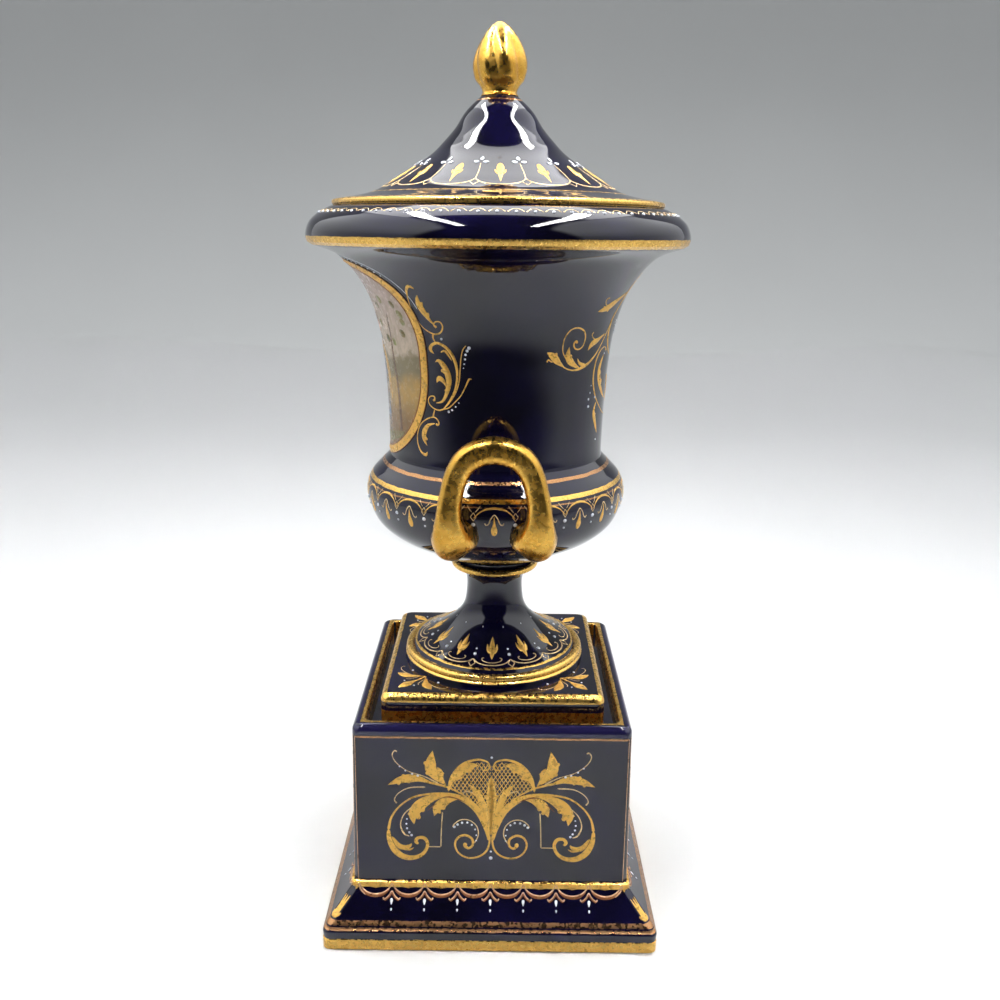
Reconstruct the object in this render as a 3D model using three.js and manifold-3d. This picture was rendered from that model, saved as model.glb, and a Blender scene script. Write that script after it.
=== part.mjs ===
// A covered mantel urn in glazed and gilded porcelain, standing on its own square plinth.
// Millimetres, +Z up. The origin is the centre of the plinth's underside. The handles are at
// front and back (-Y and +Y), so the two decorated faces of the neck look along -X and +X.
//
// Four pieces rest on one another: plinth, foot, body, lid. All four are hollow, with thin walls.

import * as THREE from 'three';
import { mergeVertices } from 'three/addons/utils/BufferGeometryUtils.js';
import Module from 'manifold-3d';

const wasm = await Module();
wasm.setup();

// ---------------------------------------------------------------- driving dimensions

const GAP = 0.3;                  // between pieces that rest on one another
const ROUND_SIDES = 36;           // facets of a turned piece
const CORNER_STEPS = 3;           // facets of a square piece's rounded corner
const EDGE_STEPS = 4;             // facets of a square piece's rounded top edge
const MERGE_DISTANCE = 1e-4;      // vertices closer than this are one
const CUT_EXTRA = 1;              // a cutting shape reaches this far past the face it opens

// plinth: a square block on a flared base, with a shallow well in its top
const BASE_HALF = 56.8;           // half the side of the base plate
const BASE_EDGE_HEIGHT = 7.4;     // the base plate's upright edge
const BASE_EDGE_ROUND = 1.4;
const BASE_CORNER = 3;
const FLARE_FOOT_HALF = 55.2;     // the hollow flare starts here, above the edge
const FLARE_FOOT_HEIGHT = 9.6;
const FILLET_HALF = 47.9;         // narrow band between flare and block
const FILLET_BOTTOM = 18.4;
const FILLET_TOP = 20.8;
const FILLET_BEVEL = 0.3;
const BLOCK_HALF_BOTTOM = 47.0;   // the block has a slight draft
const BLOCK_HALF_TOP = 46.4;
const BLOCK_CORNER = 2;
const BLOCK_TOP = 79;
const BLOCK_EDGE_ROUND = 2.4;
const WELL_HALF = 42.4;
const WELL_CORNER = 3;
const WELL_DEPTH = 5;
const PLINTH_WALL = 4.5;

// foot: a square slab carrying a flared stem and a collar
const SLAB_HALF = 37.75;
const SLAB_CORNER = 2.4;
const SLAB_EDGE_ROUND = 2.6;
const SLAB_TOP = 86;
const FOOT_WALL = 4;
const STEP_RADIUS = 32.6;         // low round step that the gilt ring lies on
const STEP_ROUND = 1.2;
const RING_RADIUS = 30.7;         // the gilt ring's centre line
const RING_THICKNESS = 3;
const RING_HEIGHT = 88.9;
const FLARE_RADIUS = 28.7;        // the flared stem starts inside the ring
const STEM_RADIUS = 10.05;
const COLLAR_RADIUS = 15.5;
const COLLAR_HEIGHT = 120.8;
const COLLAR_ROUND = 1.1;
const COLLAR_NECK = 12.6;         // the waist between collar and body
const FOOT_TOP = 123.3;

// body: a campana, the wide bell-shaped bowl with a rolled lip
const SEAT_RADIUS = 14;
const BULGE_RADIUS = 45;
const BULGE_HEIGHT = 149;
const NECK_RADIUS = 36.6;
const NECK_FOOT = 162;
const LIP_RADIUS = 62.9;
const LIP_HEIGHT = 234.6;
const RIM_RADIUS = 54.9;          // outer edge of the flat that the lid rests on
const MOUTH_RADIUS = 48.4;
const RIM_TOP = 243.2;

// handles: an upright loop on two spreading feet, front and back
const HANDLE_REACH = 50;          // from the axis to the loop's plane
const HANDLE_TOP = 172.9;         // centre line of the arch
const HANDLE_RADIUS = 4.5;        // half the bar's thickness at the top of the arch
const HANDLE_WAIST = 0.6;         // the bar's radius is this much less half way down a leg
const HANDLE_SPREAD = 0.7;        // and this much more at its foot
const HANDLE_SIDES = 8;
const HANDLE_STEPS = 18;
const PAD_RADIUS = 7.3;           // the spreading foot where it meets the bulge
const PAD_OFFSET = 12.3;          // sideways, from the loop's middle
const PAD_HEIGHT = 144.4;
const PAD_SIDES = 16;
const PAD_LENGTH = 6.6;           // from the bulge's surface out to its end
const PAD_BURIED = 2.2;           // how far it goes into the wall
const PAD_INSET = 0.8;            // the bulge is this much narrower at the pad's height
const PAD_DROOP = 0.3;            // its axis leans down by this slope

// lid: a gilded edge, a swept cone and a bud
const LID_EDGE_RADIUS = 54.2;
const LID_EDGE_THICKNESS = 1.9;
const LID_GUIDE_RADIUS = 47.6;    // the ring under the lid that keeps it centred
const LID_GUIDE_INNER = 44.2;
const LID_GUIDE_DEPTH = 5;
const BUD_RADIUS = 8.3;
const BUD_WAIST = 279;
const BUD_TIP = 299.5;
const BUD_LOBES = 6;
const LOBE_DEPTH = 0.07;          // share of the bud's radius

const GLAZE = { color: 0x0b0a2c, roughness: 0.08, metalness: 0 };

// ---------------------------------------------------------------- helpers

const point = (radius, height) => new THREE.Vector2(radius, height);

/** Points of a smooth outline through the given [radius, height] pairs. */
function curve(pairs, steps) {
  return new THREE.SplineCurve(pairs.map(([radius, height]) => point(radius, height))).getPoints(steps);
}

/** Points of a circular arc, with its angles in degrees from the radius axis. */
function arc(radius, height, size, from, to, steps) {
  const points = [];
  for (let step = 0; step <= steps; step += 1) {
    const angle = THREE.MathUtils.degToRad(from + (to - from) * step / steps);
    points.push(point(radius + size * Math.cos(angle), height + size * Math.sin(angle)));
  }
  return points;
}

/** A closed solid from a three.js geometry: shared vertices merged, slivers at a pole left out. */
function solid(geometry) {
  const bare = geometry.clone();
  bare.deleteAttribute('normal');
  bare.deleteAttribute('uv');
  const merged = mergeVertices(bare, MERGE_DISTANCE);
  const { array } = merged.index;
  const triangles = [];
  for (let start = 0; start < array.length; start += 3) {
    const [a, b, c] = array.slice(start, start + 3);
    if (a !== b && b !== c && c !== a) triangles.push(a, b, c);
  }
  return new wasm.Manifold(new wasm.Mesh({
    numProp: 3,
    vertProperties: merged.attributes.position.array,
    triVerts: new Uint32Array(triangles),
  }));
}

/** A turned piece about +Z. The outline runs up the outside, then back to the axis. */
function turned(outline, sides = ROUND_SIDES) {
  return solid(new THREE.LatheGeometry(outline, sides).rotateX(Math.PI / 2));
}

/** The outline of a square with rounded corners, as points in the XY plane. */
function roundedSquare(half, corner) {
  const points = [];
  for (let quarter = 0; quarter < 4; quarter += 1) {
    const middle = THREE.MathUtils.degToRad(45 + 90 * quarter);
    const centre = (half - corner) * Math.SQRT2;
    const from = middle - Math.PI / 4;
    for (let step = 0; step <= CORNER_STEPS; step += 1) {
      const angle = from + Math.PI / 2 * step / CORNER_STEPS;
      points.push([
        centre * Math.cos(middle) + corner * Math.cos(angle),
        centre * Math.sin(middle) + corner * Math.sin(angle),
      ]);
    }
  }
  return points;
}

/** A solid skinned over rounded squares, given from the bottom up as [half, height, corner]. */
function squareStack(levels) {
  const rings = levels.map(([half, height, corner]) => (
    roundedSquare(half, corner).map(([x, y]) => [x, y, height])
  ));
  const count = rings[0].length;
  const positions = rings.flat(2);
  const bottom = positions.length / 3;
  positions.push(0, 0, levels[0][1], 0, 0, levels[levels.length - 1][1]);
  const indices = [];
  for (let side = 0; side < count; side += 1) {
    const next = (side + 1) % count;
    for (let level = 0; level < rings.length - 1; level += 1) {
      const low = level * count;
      const high = low + count;
      indices.push(low + side, low + next, high + next, low + side, high + next, high + side);
    }
    const last = (rings.length - 1) * count;
    indices.push(bottom, next, side, bottom + 1, last + side, last + next);
  }
  const geometry = new THREE.BufferGeometry();
  geometry.setAttribute('position', new THREE.Float32BufferAttribute(positions, 3));
  geometry.setIndex(indices);
  return solid(geometry);
}

/** Levels of a rounded upper edge, for squareStack. */
function roundedTop(half, top, corner, size) {
  return arc(half - size, top - size, size, 0, 90, EDGE_STEPS).map(({ x, y }) => [x, y, corner]);
}

/** A round bar along a curve. Its radius is swell(t) at the curve's share t. */
function bar(path, swell, steps, sides) {
  const section = new THREE.Shape();
  section.absarc(0, 0, 1, 0, Math.PI * 2);
  const geometry = new THREE.ExtrudeGeometry(section, {
    steps, extrudePath: path, curveSegments: sides / 2, bevelEnabled: false,
  });
  const centres = path.getSpacedPoints(steps);
  const { position } = geometry.attributes;
  const vertex = new THREE.Vector3();
  for (let index = 0; index < position.count; index += 1) {
    vertex.fromBufferAttribute(position, index);
    const distances = centres.map((centre) => Math.abs(centre.distanceTo(vertex) - 1));
    const step = distances.indexOf(Math.min(...distances));
    vertex.sub(centres[step]).multiplyScalar(swell(step / steps)).add(centres[step]);
    position.setXYZ(index, ...vertex.toArray());
  }
  return solid(geometry);
}

/** A named mesh from a finished solid. */
function piece(name, manifold) {
  const { vertProperties, triVerts } = manifold.getMesh();
  const geometry = new THREE.BufferGeometry();
  geometry.setAttribute('position', new THREE.Float32BufferAttribute(vertProperties, 3));
  geometry.setIndex([...triVerts]);
  geometry.computeVertexNormals();
  const mesh = new THREE.Mesh(geometry, new THREE.MeshStandardMaterial(GLAZE));
  mesh.name = name;
  return mesh;
}

// ---------------------------------------------------------------- plinth

function plinth() {
  const outside = squareStack([
    [BASE_HALF, 0, BASE_CORNER],
    [BASE_HALF, BASE_EDGE_HEIGHT - BASE_EDGE_ROUND, BASE_CORNER],
    [BASE_HALF - 0.5, BASE_EDGE_HEIGHT, BASE_CORNER],
    [FLARE_FOOT_HALF + 0.6, FLARE_FOOT_HEIGHT - 0.7, BASE_CORNER],
    ...curve([
      [FLARE_FOOT_HALF, FLARE_FOOT_HEIGHT],
      [52.9, 12.1],
      [50.3, 15.1],
      [FILLET_HALF - FILLET_BEVEL, FILLET_BOTTOM],
    ], 5).map(({ x, y }) => [x, y, BLOCK_CORNER]),
    [FILLET_HALF, FILLET_BOTTOM + FILLET_BEVEL, BLOCK_CORNER],
    [FILLET_HALF, FILLET_TOP - FILLET_BEVEL, BLOCK_CORNER],
    [BLOCK_HALF_BOTTOM, FILLET_TOP, BLOCK_CORNER],
    ...roundedTop(BLOCK_HALF_TOP, BLOCK_TOP, BLOCK_CORNER, BLOCK_EDGE_ROUND),
  ]);
  const well = squareStack([
    [WELL_HALF, BLOCK_TOP - WELL_DEPTH, WELL_CORNER],
    [WELL_HALF, BLOCK_TOP + CUT_EXTRA, WELL_CORNER],
  ]);
  const ceiling = BLOCK_TOP - WELL_DEPTH - PLINTH_WALL;
  const inside = squareStack([
    [BASE_HALF - PLINTH_WALL, -CUT_EXTRA, BASE_CORNER],
    [BASE_HALF - PLINTH_WALL, PLINTH_WALL, BASE_CORNER],
    [BLOCK_HALF_BOTTOM - PLINTH_WALL, FILLET_BOTTOM - 1, BLOCK_CORNER],
    [BLOCK_HALF_TOP - PLINTH_WALL, ceiling, BLOCK_CORNER],
  ]);
  return piece('plinth', outside.subtract(well).subtract(inside));
}

// ---------------------------------------------------------------- foot

function foot() {
  const bottom = BLOCK_TOP - WELL_DEPTH + GAP;
  const ceiling = SLAB_TOP - FOOT_WALL;
  const slab = squareStack([
    [SLAB_HALF, bottom, SLAB_CORNER],
    ...roundedTop(SLAB_HALF, SLAB_TOP, SLAB_CORNER, SLAB_EDGE_ROUND),
  ]);
  const ringSize = RING_THICKNESS / 2;
  const stem = turned([
    point(0, SLAB_TOP - STEP_ROUND),
    point(STEP_RADIUS, SLAB_TOP - STEP_ROUND),
    ...arc(STEP_RADIUS - STEP_ROUND, SLAB_TOP + 0.9, STEP_ROUND, -10, 60, 2),
    ...arc(RING_RADIUS, RING_HEIGHT, ringSize, -35, 135, 5),
    ...curve([
      [FLARE_RADIUS, RING_HEIGHT + 2.5],
      [22.4, 94.4],
      [15.2, 99.4],
      [11.2, 104.6],
      [STEM_RADIUS, 111],
      [STEM_RADIUS + 0.3, 116.4],
      [12.3, 118.9],
    ], 9),
    ...arc(COLLAR_RADIUS - COLLAR_ROUND, COLLAR_HEIGHT, COLLAR_ROUND, -70, 90, 3),
    point(COLLAR_NECK, COLLAR_HEIGHT + 1.5),
    point(COLLAR_NECK, FOOT_TOP),
    point(0, FOOT_TOP),
  ]);
  const slabInside = squareStack([
    [SLAB_HALF - FOOT_WALL, bottom - CUT_EXTRA, SLAB_CORNER],
    [SLAB_HALF - FOOT_WALL, ceiling, SLAB_CORNER],
  ]);
  const stemInside = turned([
    point(0, ceiling - CUT_EXTRA),
    point(FLARE_RADIUS - 1.4, ceiling - CUT_EXTRA),
    ...curve([
      [FLARE_RADIUS - 1.4, RING_HEIGHT - 4.2],
      [20, 90.6],
      [12.4, 95.6],
      [7.4, 102],
      [5.6, 110],
      [5.4, 116],
    ], 5),
    point(0, 117),
  ], ROUND_SIDES / 2);
  return piece('foot', slab.add(stem).subtract(slabInside).subtract(stemInside));
}

// ---------------------------------------------------------------- body

/** Outside of the bowl, from its seat up over the rolled lip to the rim. */
function bodyOutside(seat) {
  return [
    point(0, seat),
    ...curve([
      [SEAT_RADIUS, seat],
      [20.4, 126.1],
      [28.4, 130],
      [36.6, 134.5],
      [42.3, 140.2],
      [BULGE_RADIUS, BULGE_HEIGHT],
      [43.6, 154.6],
      [39.9, 158.8],
      [NECK_RADIUS + 0.2, NECK_FOOT],
    ], 11),
    ...curve([
      [NECK_RADIUS, NECK_FOOT + 2],
      [NECK_RADIUS + 0.5, 182],
      [NECK_RADIUS + 1.5, 195],
      [39.8, 206],
      [44.2, 218],
      [51.8, 227.6],
    ], 7),
    point(60.6, 231.2),
    ...curve([
      [62.3, 232.2],
      [LIP_RADIUS, LIP_HEIGHT],
      [61.6, 238.4],
      [58.6, 241.2],
      [RIM_RADIUS, RIM_TOP],
    ], 5),
  ];
}

/** Inside of the bowl, from the mouth down to the middle of the floor. */
function bodyInside() {
  return [
    ...curve([
      [MOUTH_RADIUS, RIM_TOP],
      [MOUTH_RADIUS + 0.8, 241],
      [53.9, 238.2],
      [55.4, 234.4],
      [52.6, 230.6],
      [46.8, 226.4],
      [40.6, 218.4],
      [36.1, 206],
      [34.3, 195],
      [33.4, 182],
      [33, 164],
    ], 10),
    ...curve([
      [35.6, 159.4],
      [39.6, 154.4],
      [41, 149],
      [38.4, 141.4],
      [31.4, 135.8],
      [22.2, 131.2],
      [14, 128.4],
    ], 5),
    point(0, 127.8),
  ];
}

/** One handle at the front: the loop and its two spreading feet. */
function handle() {
  const leg = [
    [7.2, 0, 170.8],
    [11.1, 0, 165.8],
    [13.2, 0, 158.4],
    [13.9, 0.2, 151.6],
    [13.5, 1.7, 147],
    [12.9, 5, 144.6],
  ];
  const left = leg.map(([x, inward, z]) => [-x, inward, z]).reverse();
  const route = [...left, [0, 0, HANDLE_TOP], ...leg];
  const path = new THREE.CatmullRomCurve3(
    route.map(([x, inward, z]) => new THREE.Vector3(x, inward - HANDLE_REACH, z)),
  );
  // thick at the top of the arch, slimmer in the legs, thick again at the feet
  const swell = (t) => {
    const fromTop = Math.abs(2 * t - 1);
    const waist = HANDLE_WAIST * Math.sin(Math.PI * Math.min(fromTop / 0.8, 1));
    return HANDLE_RADIUS - waist + HANDLE_SPREAD * fromTop ** 4;
  };
  let loop = bar(path, swell, HANDLE_STEPS, HANDLE_SIDES);
  const pad = new THREE.LatheGeometry([
    point(0, -PAD_BURIED),
    point(PAD_RADIUS, -PAD_BURIED),
    point(PAD_RADIUS, 0.4),
    point(6.6, 1.8),
    point(5.9, 4.2),
    point(4.8, PAD_LENGTH - 0.5),
    point(0, PAD_LENGTH),
  ], PAD_SIDES);
  const reach = Math.sqrt(BULGE_RADIUS ** 2 - PAD_OFFSET ** 2) - PAD_INSET;
  for (const side of [-1, 1]) {
    const outward = new THREE.Vector3(side * PAD_OFFSET, -reach, -PAD_DROOP * BULGE_RADIUS).normalize();
    const turn = new THREE.Quaternion().setFromUnitVectors(new THREE.Vector3(0, 1, 0), outward);
    const placed = pad.clone().applyQuaternion(turn).translate(side * PAD_OFFSET, -reach, PAD_HEIGHT);
    loop = loop.add(solid(placed));
  }
  return loop;
}

function body() {
  const seat = FOOT_TOP + GAP;
  const bowl = turned([...bodyOutside(seat), ...bodyInside()]);
  const front = handle();
  const back = front.rotate([0, 0, 180]);
  return piece('urn_body', bowl.add(front).add(back));
}

// ---------------------------------------------------------------- lid

/** Presses soft lobes into a bud between its waist and its tip. */
function lobed(geometry) {
  const { position } = geometry.attributes;
  for (let index = 0; index < position.count; index += 1) {
    const [x, y, z] = [position.getX(index), position.getY(index), position.getZ(index)];
    const share = THREE.MathUtils.clamp((z - BUD_WAIST) / (BUD_TIP - BUD_WAIST), 0, 1);
    const lobe = Math.cos(BUD_LOBES * Math.atan2(y, x)) * Math.sin(Math.PI * share);
    const scale = 1 + LOBE_DEPTH * lobe;
    position.setXYZ(index, x * scale, y * scale, z);
  }
  return geometry;
}

function lid() {
  const under = RIM_TOP + GAP;
  const edge = LID_EDGE_THICKNESS;
  const outline = [
    point(0, 271),
    ...curve([
      [5.4, 269.6],
      [9.6, 266],
      [13.6, 261.6],
      [18, 257.2],
      [24, 252.8],
      [31, 249],
      [40.6, 245.6],
      [LID_GUIDE_INNER, 242.6],
    ], 5),
    point(LID_GUIDE_INNER, under - LID_GUIDE_DEPTH),
    point(LID_GUIDE_RADIUS, under - LID_GUIDE_DEPTH),
    point(LID_GUIDE_RADIUS, under),
    point(LID_EDGE_RADIUS - 0.5, under),
    ...arc(LID_EDGE_RADIUS - edge / 2, under + edge / 2, edge / 2, -60, 60, 3),
    point(LID_EDGE_RADIUS - 1.1, under + edge),
    ...curve([
      [46.8, 246.5],
      [40.2, 248.3],
      [33.8, 252],
      [27.4, 256],
      [21.6, 260],
      [17.6, 264],
      [14.1, 268],
      [11.5, 272],
      [9.2, 274.6],
      [5.9, 277.5],
    ], 9),
    ...curve([
      [5.45, BUD_WAIST],
      [6.2, 280.6],
      [7.6, 282.6],
      [BUD_RADIUS, 286.6],
      [7.7, 290.2],
      [6.1, 294],
      [3.6, 297.4],
      [1.3, 299.2],
    ], 7),
    point(0, BUD_TIP),
  ];
  const shape = new THREE.LatheGeometry(outline, ROUND_SIDES).rotateX(Math.PI / 2);
  return piece('lid', solid(lobed(shape)));
}

// ---------------------------------------------------------------- assembly

const urn = new THREE.Group();
urn.name = 'mantel_urn';
urn.add(plinth(), foot(), body(), lid());

export default urn;
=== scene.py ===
"""A covered mantel urn: cobalt-glazed porcelain with gilding, white enamel and a painted medallion.

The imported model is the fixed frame. Sizes are in millimetres, in the frame's axes: +Z up, the handles
at -Y and +Y, the medallion facing -X. Each sub-assembly is a class with its sizes as fields, and
builds its own pieces; a motif is drawn flat and then laid on the turned or flat surface it decorates.
"""
import logging
import math
from collections.abc import Callable, Sequence
from dataclasses import dataclass
from enum import Enum
from itertools import pairwise

import bmesh
import bpy
import numpy as np
from mathutils import Matrix, Vector


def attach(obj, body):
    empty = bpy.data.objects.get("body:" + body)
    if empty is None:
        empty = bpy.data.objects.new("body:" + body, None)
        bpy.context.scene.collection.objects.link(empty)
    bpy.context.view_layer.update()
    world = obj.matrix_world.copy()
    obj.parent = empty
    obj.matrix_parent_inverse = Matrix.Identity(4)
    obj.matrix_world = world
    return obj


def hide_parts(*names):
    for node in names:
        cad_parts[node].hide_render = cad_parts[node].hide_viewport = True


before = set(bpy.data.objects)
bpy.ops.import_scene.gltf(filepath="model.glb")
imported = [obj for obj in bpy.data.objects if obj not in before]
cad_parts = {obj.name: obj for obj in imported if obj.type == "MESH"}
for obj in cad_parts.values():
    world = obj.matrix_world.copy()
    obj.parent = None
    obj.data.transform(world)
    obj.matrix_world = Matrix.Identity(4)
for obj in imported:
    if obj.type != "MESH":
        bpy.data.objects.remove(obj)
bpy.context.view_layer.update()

LOG = logging.getLogger("mantel_urn")
MM = 0.001
TURN_STEPS = 160
FRONT = -math.pi / 2
SMOOTH_ANGLE = math.radians(32)
STROKE_STEP = 0.7
THINNEST = 0.02
BRUSH_HEIGHT = 0.2
SPRAY_EDGE = 35.2

Point = tuple[float, float]


# ---------------------------------------------------------------- outlines

def smooth(points: Sequence[Point], steps: int) -> list[Point]:
    """Draws a soft line through a few points.

    Args:
        points: The points it runs through.
        steps: How many stretches it is drawn with.

    Returns:
        The points of the drawn line, ends included.
    """
    last = len(points) - 1
    drawn = []
    for step in range(steps + 1):
        place = step / steps * last
        start = min(int(place), last - 1)
        share = place - start
        before, here = points[max(start - 1, 0)], points[start]
        there, after = points[start + 1], points[min(start + 2, last)]
        drawn.append(tuple(
            blend_cubic(before[axis], here[axis], there[axis], after[axis], share)
            for axis in range(len(here))
        ))
    return drawn


def blend_cubic(before: float, here: float, there: float, after: float, share: float) -> float:
    """Value between here and there on a Catmull-Rom curve.

    Args:
        before: The value before here.
        here: The value at share 0.
        there: The value at share 1.
        after: The value after there.
        share: The place between here and there.

    Returns:
        The curve's value.
    """
    slope_here = (there - before) / 2
    slope_there = (after - here) / 2
    return ((2 * here - 2 * there + slope_here + slope_there) * share ** 3
            + (-3 * here + 3 * there - 2 * slope_here - slope_there) * share ** 2
            + slope_here * share + here)


def arc(centre: Point, radius: float, start: float, end: float, steps: int) -> list[Point]:
    """Draws a circular arc.

    Args:
        centre: Its centre.
        radius: Its radius.
        start: The first angle in degrees.
        end: The last angle in degrees.
        steps: How many stretches it is drawn with.

    Returns:
        The points of the arc.
    """
    return [
        (centre[0] + radius * math.cos(math.radians(start + (end - start) * step / steps)),
         centre[1] + radius * math.sin(math.radians(start + (end - start) * step / steps)))
        for step in range(steps + 1)
    ]


# ---------------------------------------------------------------- modelling by operators

def start_clean() -> None:
    """Leaves edit mode and deselects every object."""
    active = bpy.context.view_layer.objects.active
    if active is not None and active.mode != "OBJECT":
        bpy.ops.object.mode_set(mode="OBJECT")
    bpy.ops.object.select_all(action="DESELECT")


def select_only(piece: bpy.types.Object) -> None:
    """Selects one object and makes it active.

    Args:
        piece: The object.
    """
    start_clean()
    piece.select_set(True)
    bpy.context.view_layer.objects.active = piece


def apply_modifier(piece: bpy.types.Object, kind: str, **settings: object) -> None:
    """Adds a modifier and applies it at once.

    Args:
        piece: The object it works on.
        kind: The modifier's type.
        settings: The values it is given.
    """
    select_only(piece)
    modifier = piece.modifiers.new(kind.title(), kind)
    for name, value in settings.items():
        setattr(modifier, name, value)
    bpy.ops.object.modifier_apply(modifier=modifier.name)


def soften(piece: bpy.types.Object, angle: float = SMOOTH_ANGLE, weigh: bool = False) -> None:
    """Shades a piece smooth, with its sharp edges kept.

    Args:
        piece: The object to shade.
        angle: Edges bent more than this stay sharp.
        weigh: Whether large flat faces keep their own normals.
    """
    select_only(piece)
    bpy.ops.object.shade_smooth_by_angle(angle=angle)
    if weigh:
        apply_modifier(piece, "WEIGHTED_NORMAL", keep_sharp=True, weight=90)


def tidy_shell() -> None:
    """Merges doubles and turns every face outwards, in edit mode."""
    bpy.ops.mesh.select_all(action="SELECT")
    bpy.ops.mesh.remove_doubles(threshold=2e-6)
    bpy.ops.mesh.normals_make_consistent(inside=False)


def turned_piece(name: str, outline: Sequence[Point], steps: int = TURN_STEPS) -> bpy.types.Object:
    """Spins an outline about +Z, as on a potter's wheel.

    Args:
        name: The piece's name.
        outline: Its (radius, height) points in millimetres, closed or from the axis to the axis.
        steps: How many stretches the turn has.

    Returns:
        The turned object, at the origin.
    """
    start_clean()
    bpy.ops.mesh.primitive_plane_add(size=MM)
    piece = bpy.context.active_object
    piece.name = piece.data.name = name
    bpy.ops.object.mode_set(mode="EDIT")
    bpy.ops.mesh.select_mode(type="VERT")
    bpy.ops.mesh.merge(type="CENTER")
    radius, height = outline[0]
    bpy.ops.transform.translate(value=(radius * MM, 0, height * MM))
    for (radius, height), (next_radius, next_height) in pairwise(outline):
        step = ((next_radius - radius) * MM, 0, (next_height - height) * MM)
        bpy.ops.mesh.extrude_region_move(TRANSFORM_OT_translate={"value": step})
    bpy.ops.mesh.select_all(action="SELECT")
    bpy.ops.mesh.spin(steps=steps, angle=math.tau, center=(0, 0, 0), axis=(0, 0, 1))
    tidy_shell()
    bpy.ops.object.mode_set(mode="OBJECT")
    return piece


def select_faces(piece: bpy.types.Object, wanted: Callable[[bmesh.types.BMFace], bool]) -> None:
    """Selects the faces that a test accepts, in edit mode.

    Args:
        piece: The object being edited.
        wanted: The test.
    """
    bpy.ops.mesh.select_all(action="DESELECT")
    bpy.ops.mesh.select_mode(type="FACE")
    mesh = bmesh.from_edit_mesh(piece.data)
    for face in mesh.faces:
        face.select_set(wanted(face))
    bmesh.update_edit_mesh(piece.data)


def select_edges(piece: bpy.types.Object, wanted: Callable[[bmesh.types.BMEdge], bool]) -> None:
    """Selects the edges that a test accepts, in edit mode.

    Args:
        piece: The object being edited.
        wanted: The test.
    """
    bpy.ops.mesh.select_all(action="DESELECT")
    bpy.ops.mesh.select_mode(type="EDGE")
    mesh = bmesh.from_edit_mesh(piece.data)
    for edge in mesh.edges:
        edge.select_set(wanted(edge))
    bmesh.update_edit_mesh(piece.data)


def extrude_levels(levels: Sequence[Point]) -> None:
    """Extrudes the selected square face from level to level, in edit mode.

    Args:
        levels: The (half side, height) of each level; the first is where the face is now.
    """
    for (half, height), (next_half, next_height) in pairwise(levels):
        bpy.ops.mesh.extrude_region_move(
            TRANSFORM_OT_translate={"value": (0, 0, (next_height - height) * MM)})
        scale = next_half / half
        bpy.ops.transform.resize(value=(scale, scale, 1))


def is_mitre(edge: bmesh.types.BMEdge) -> bool:
    """Tells whether an edge runs along a corner of a square piece.

    Args:
        edge: The edge.

    Returns:
        True where it does.
    """
    first, second = (vertex.co for vertex in edge.verts)
    on_diagonal = all(abs(abs(co.x) - abs(co.y)) < 1e-6 and abs(co.x) > 1e-4 for co in (first, second))
    same_corner = first.x * second.x > 0 and first.y * second.y > 0
    return on_diagonal and same_corner


def square_piece(name: str, levels: Sequence[Point], hollow: Sequence[Point],
                 corner: float) -> bpy.types.Object:
    """Models a square piece by extruding a plate up through its levels, hollow below.

    Args:
        name: The piece's name.
        levels: The (half side, height) of each level of the outside, from the bottom up.
        hollow: The levels of the hollow, from its mouth up.
        corner: The radius of its corners.

    Returns:
        The object, at the origin.
    """
    start_clean()
    half, height = levels[0]
    bpy.ops.mesh.primitive_plane_add(size=2 * half * MM, location=(0, 0, height * MM))
    piece = bpy.context.active_object
    piece.name = piece.data.name = name
    bpy.ops.object.transform_apply(location=True, rotation=True, scale=True)
    bpy.ops.object.mode_set(mode="EDIT")
    extrude_levels(levels)
    tidy_shell()
    floor = height * MM
    select_faces(piece, lambda face: abs(face.calc_center_median().z - floor) < 1e-6)
    mouth = hollow[0]
    bpy.ops.mesh.inset(thickness=(half - mouth[0]) * MM)
    extrude_levels([mouth, *hollow[1:]])
    select_edges(piece, is_mitre)
    bpy.ops.mesh.bevel(offset=corner * MM, offset_type="OFFSET", segments=5, profile=0.5, clamp_overlap=True)
    tidy_shell()
    bpy.ops.object.mode_set(mode="OBJECT")
    return piece


# ---------------------------------------------------------------- materials

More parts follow.
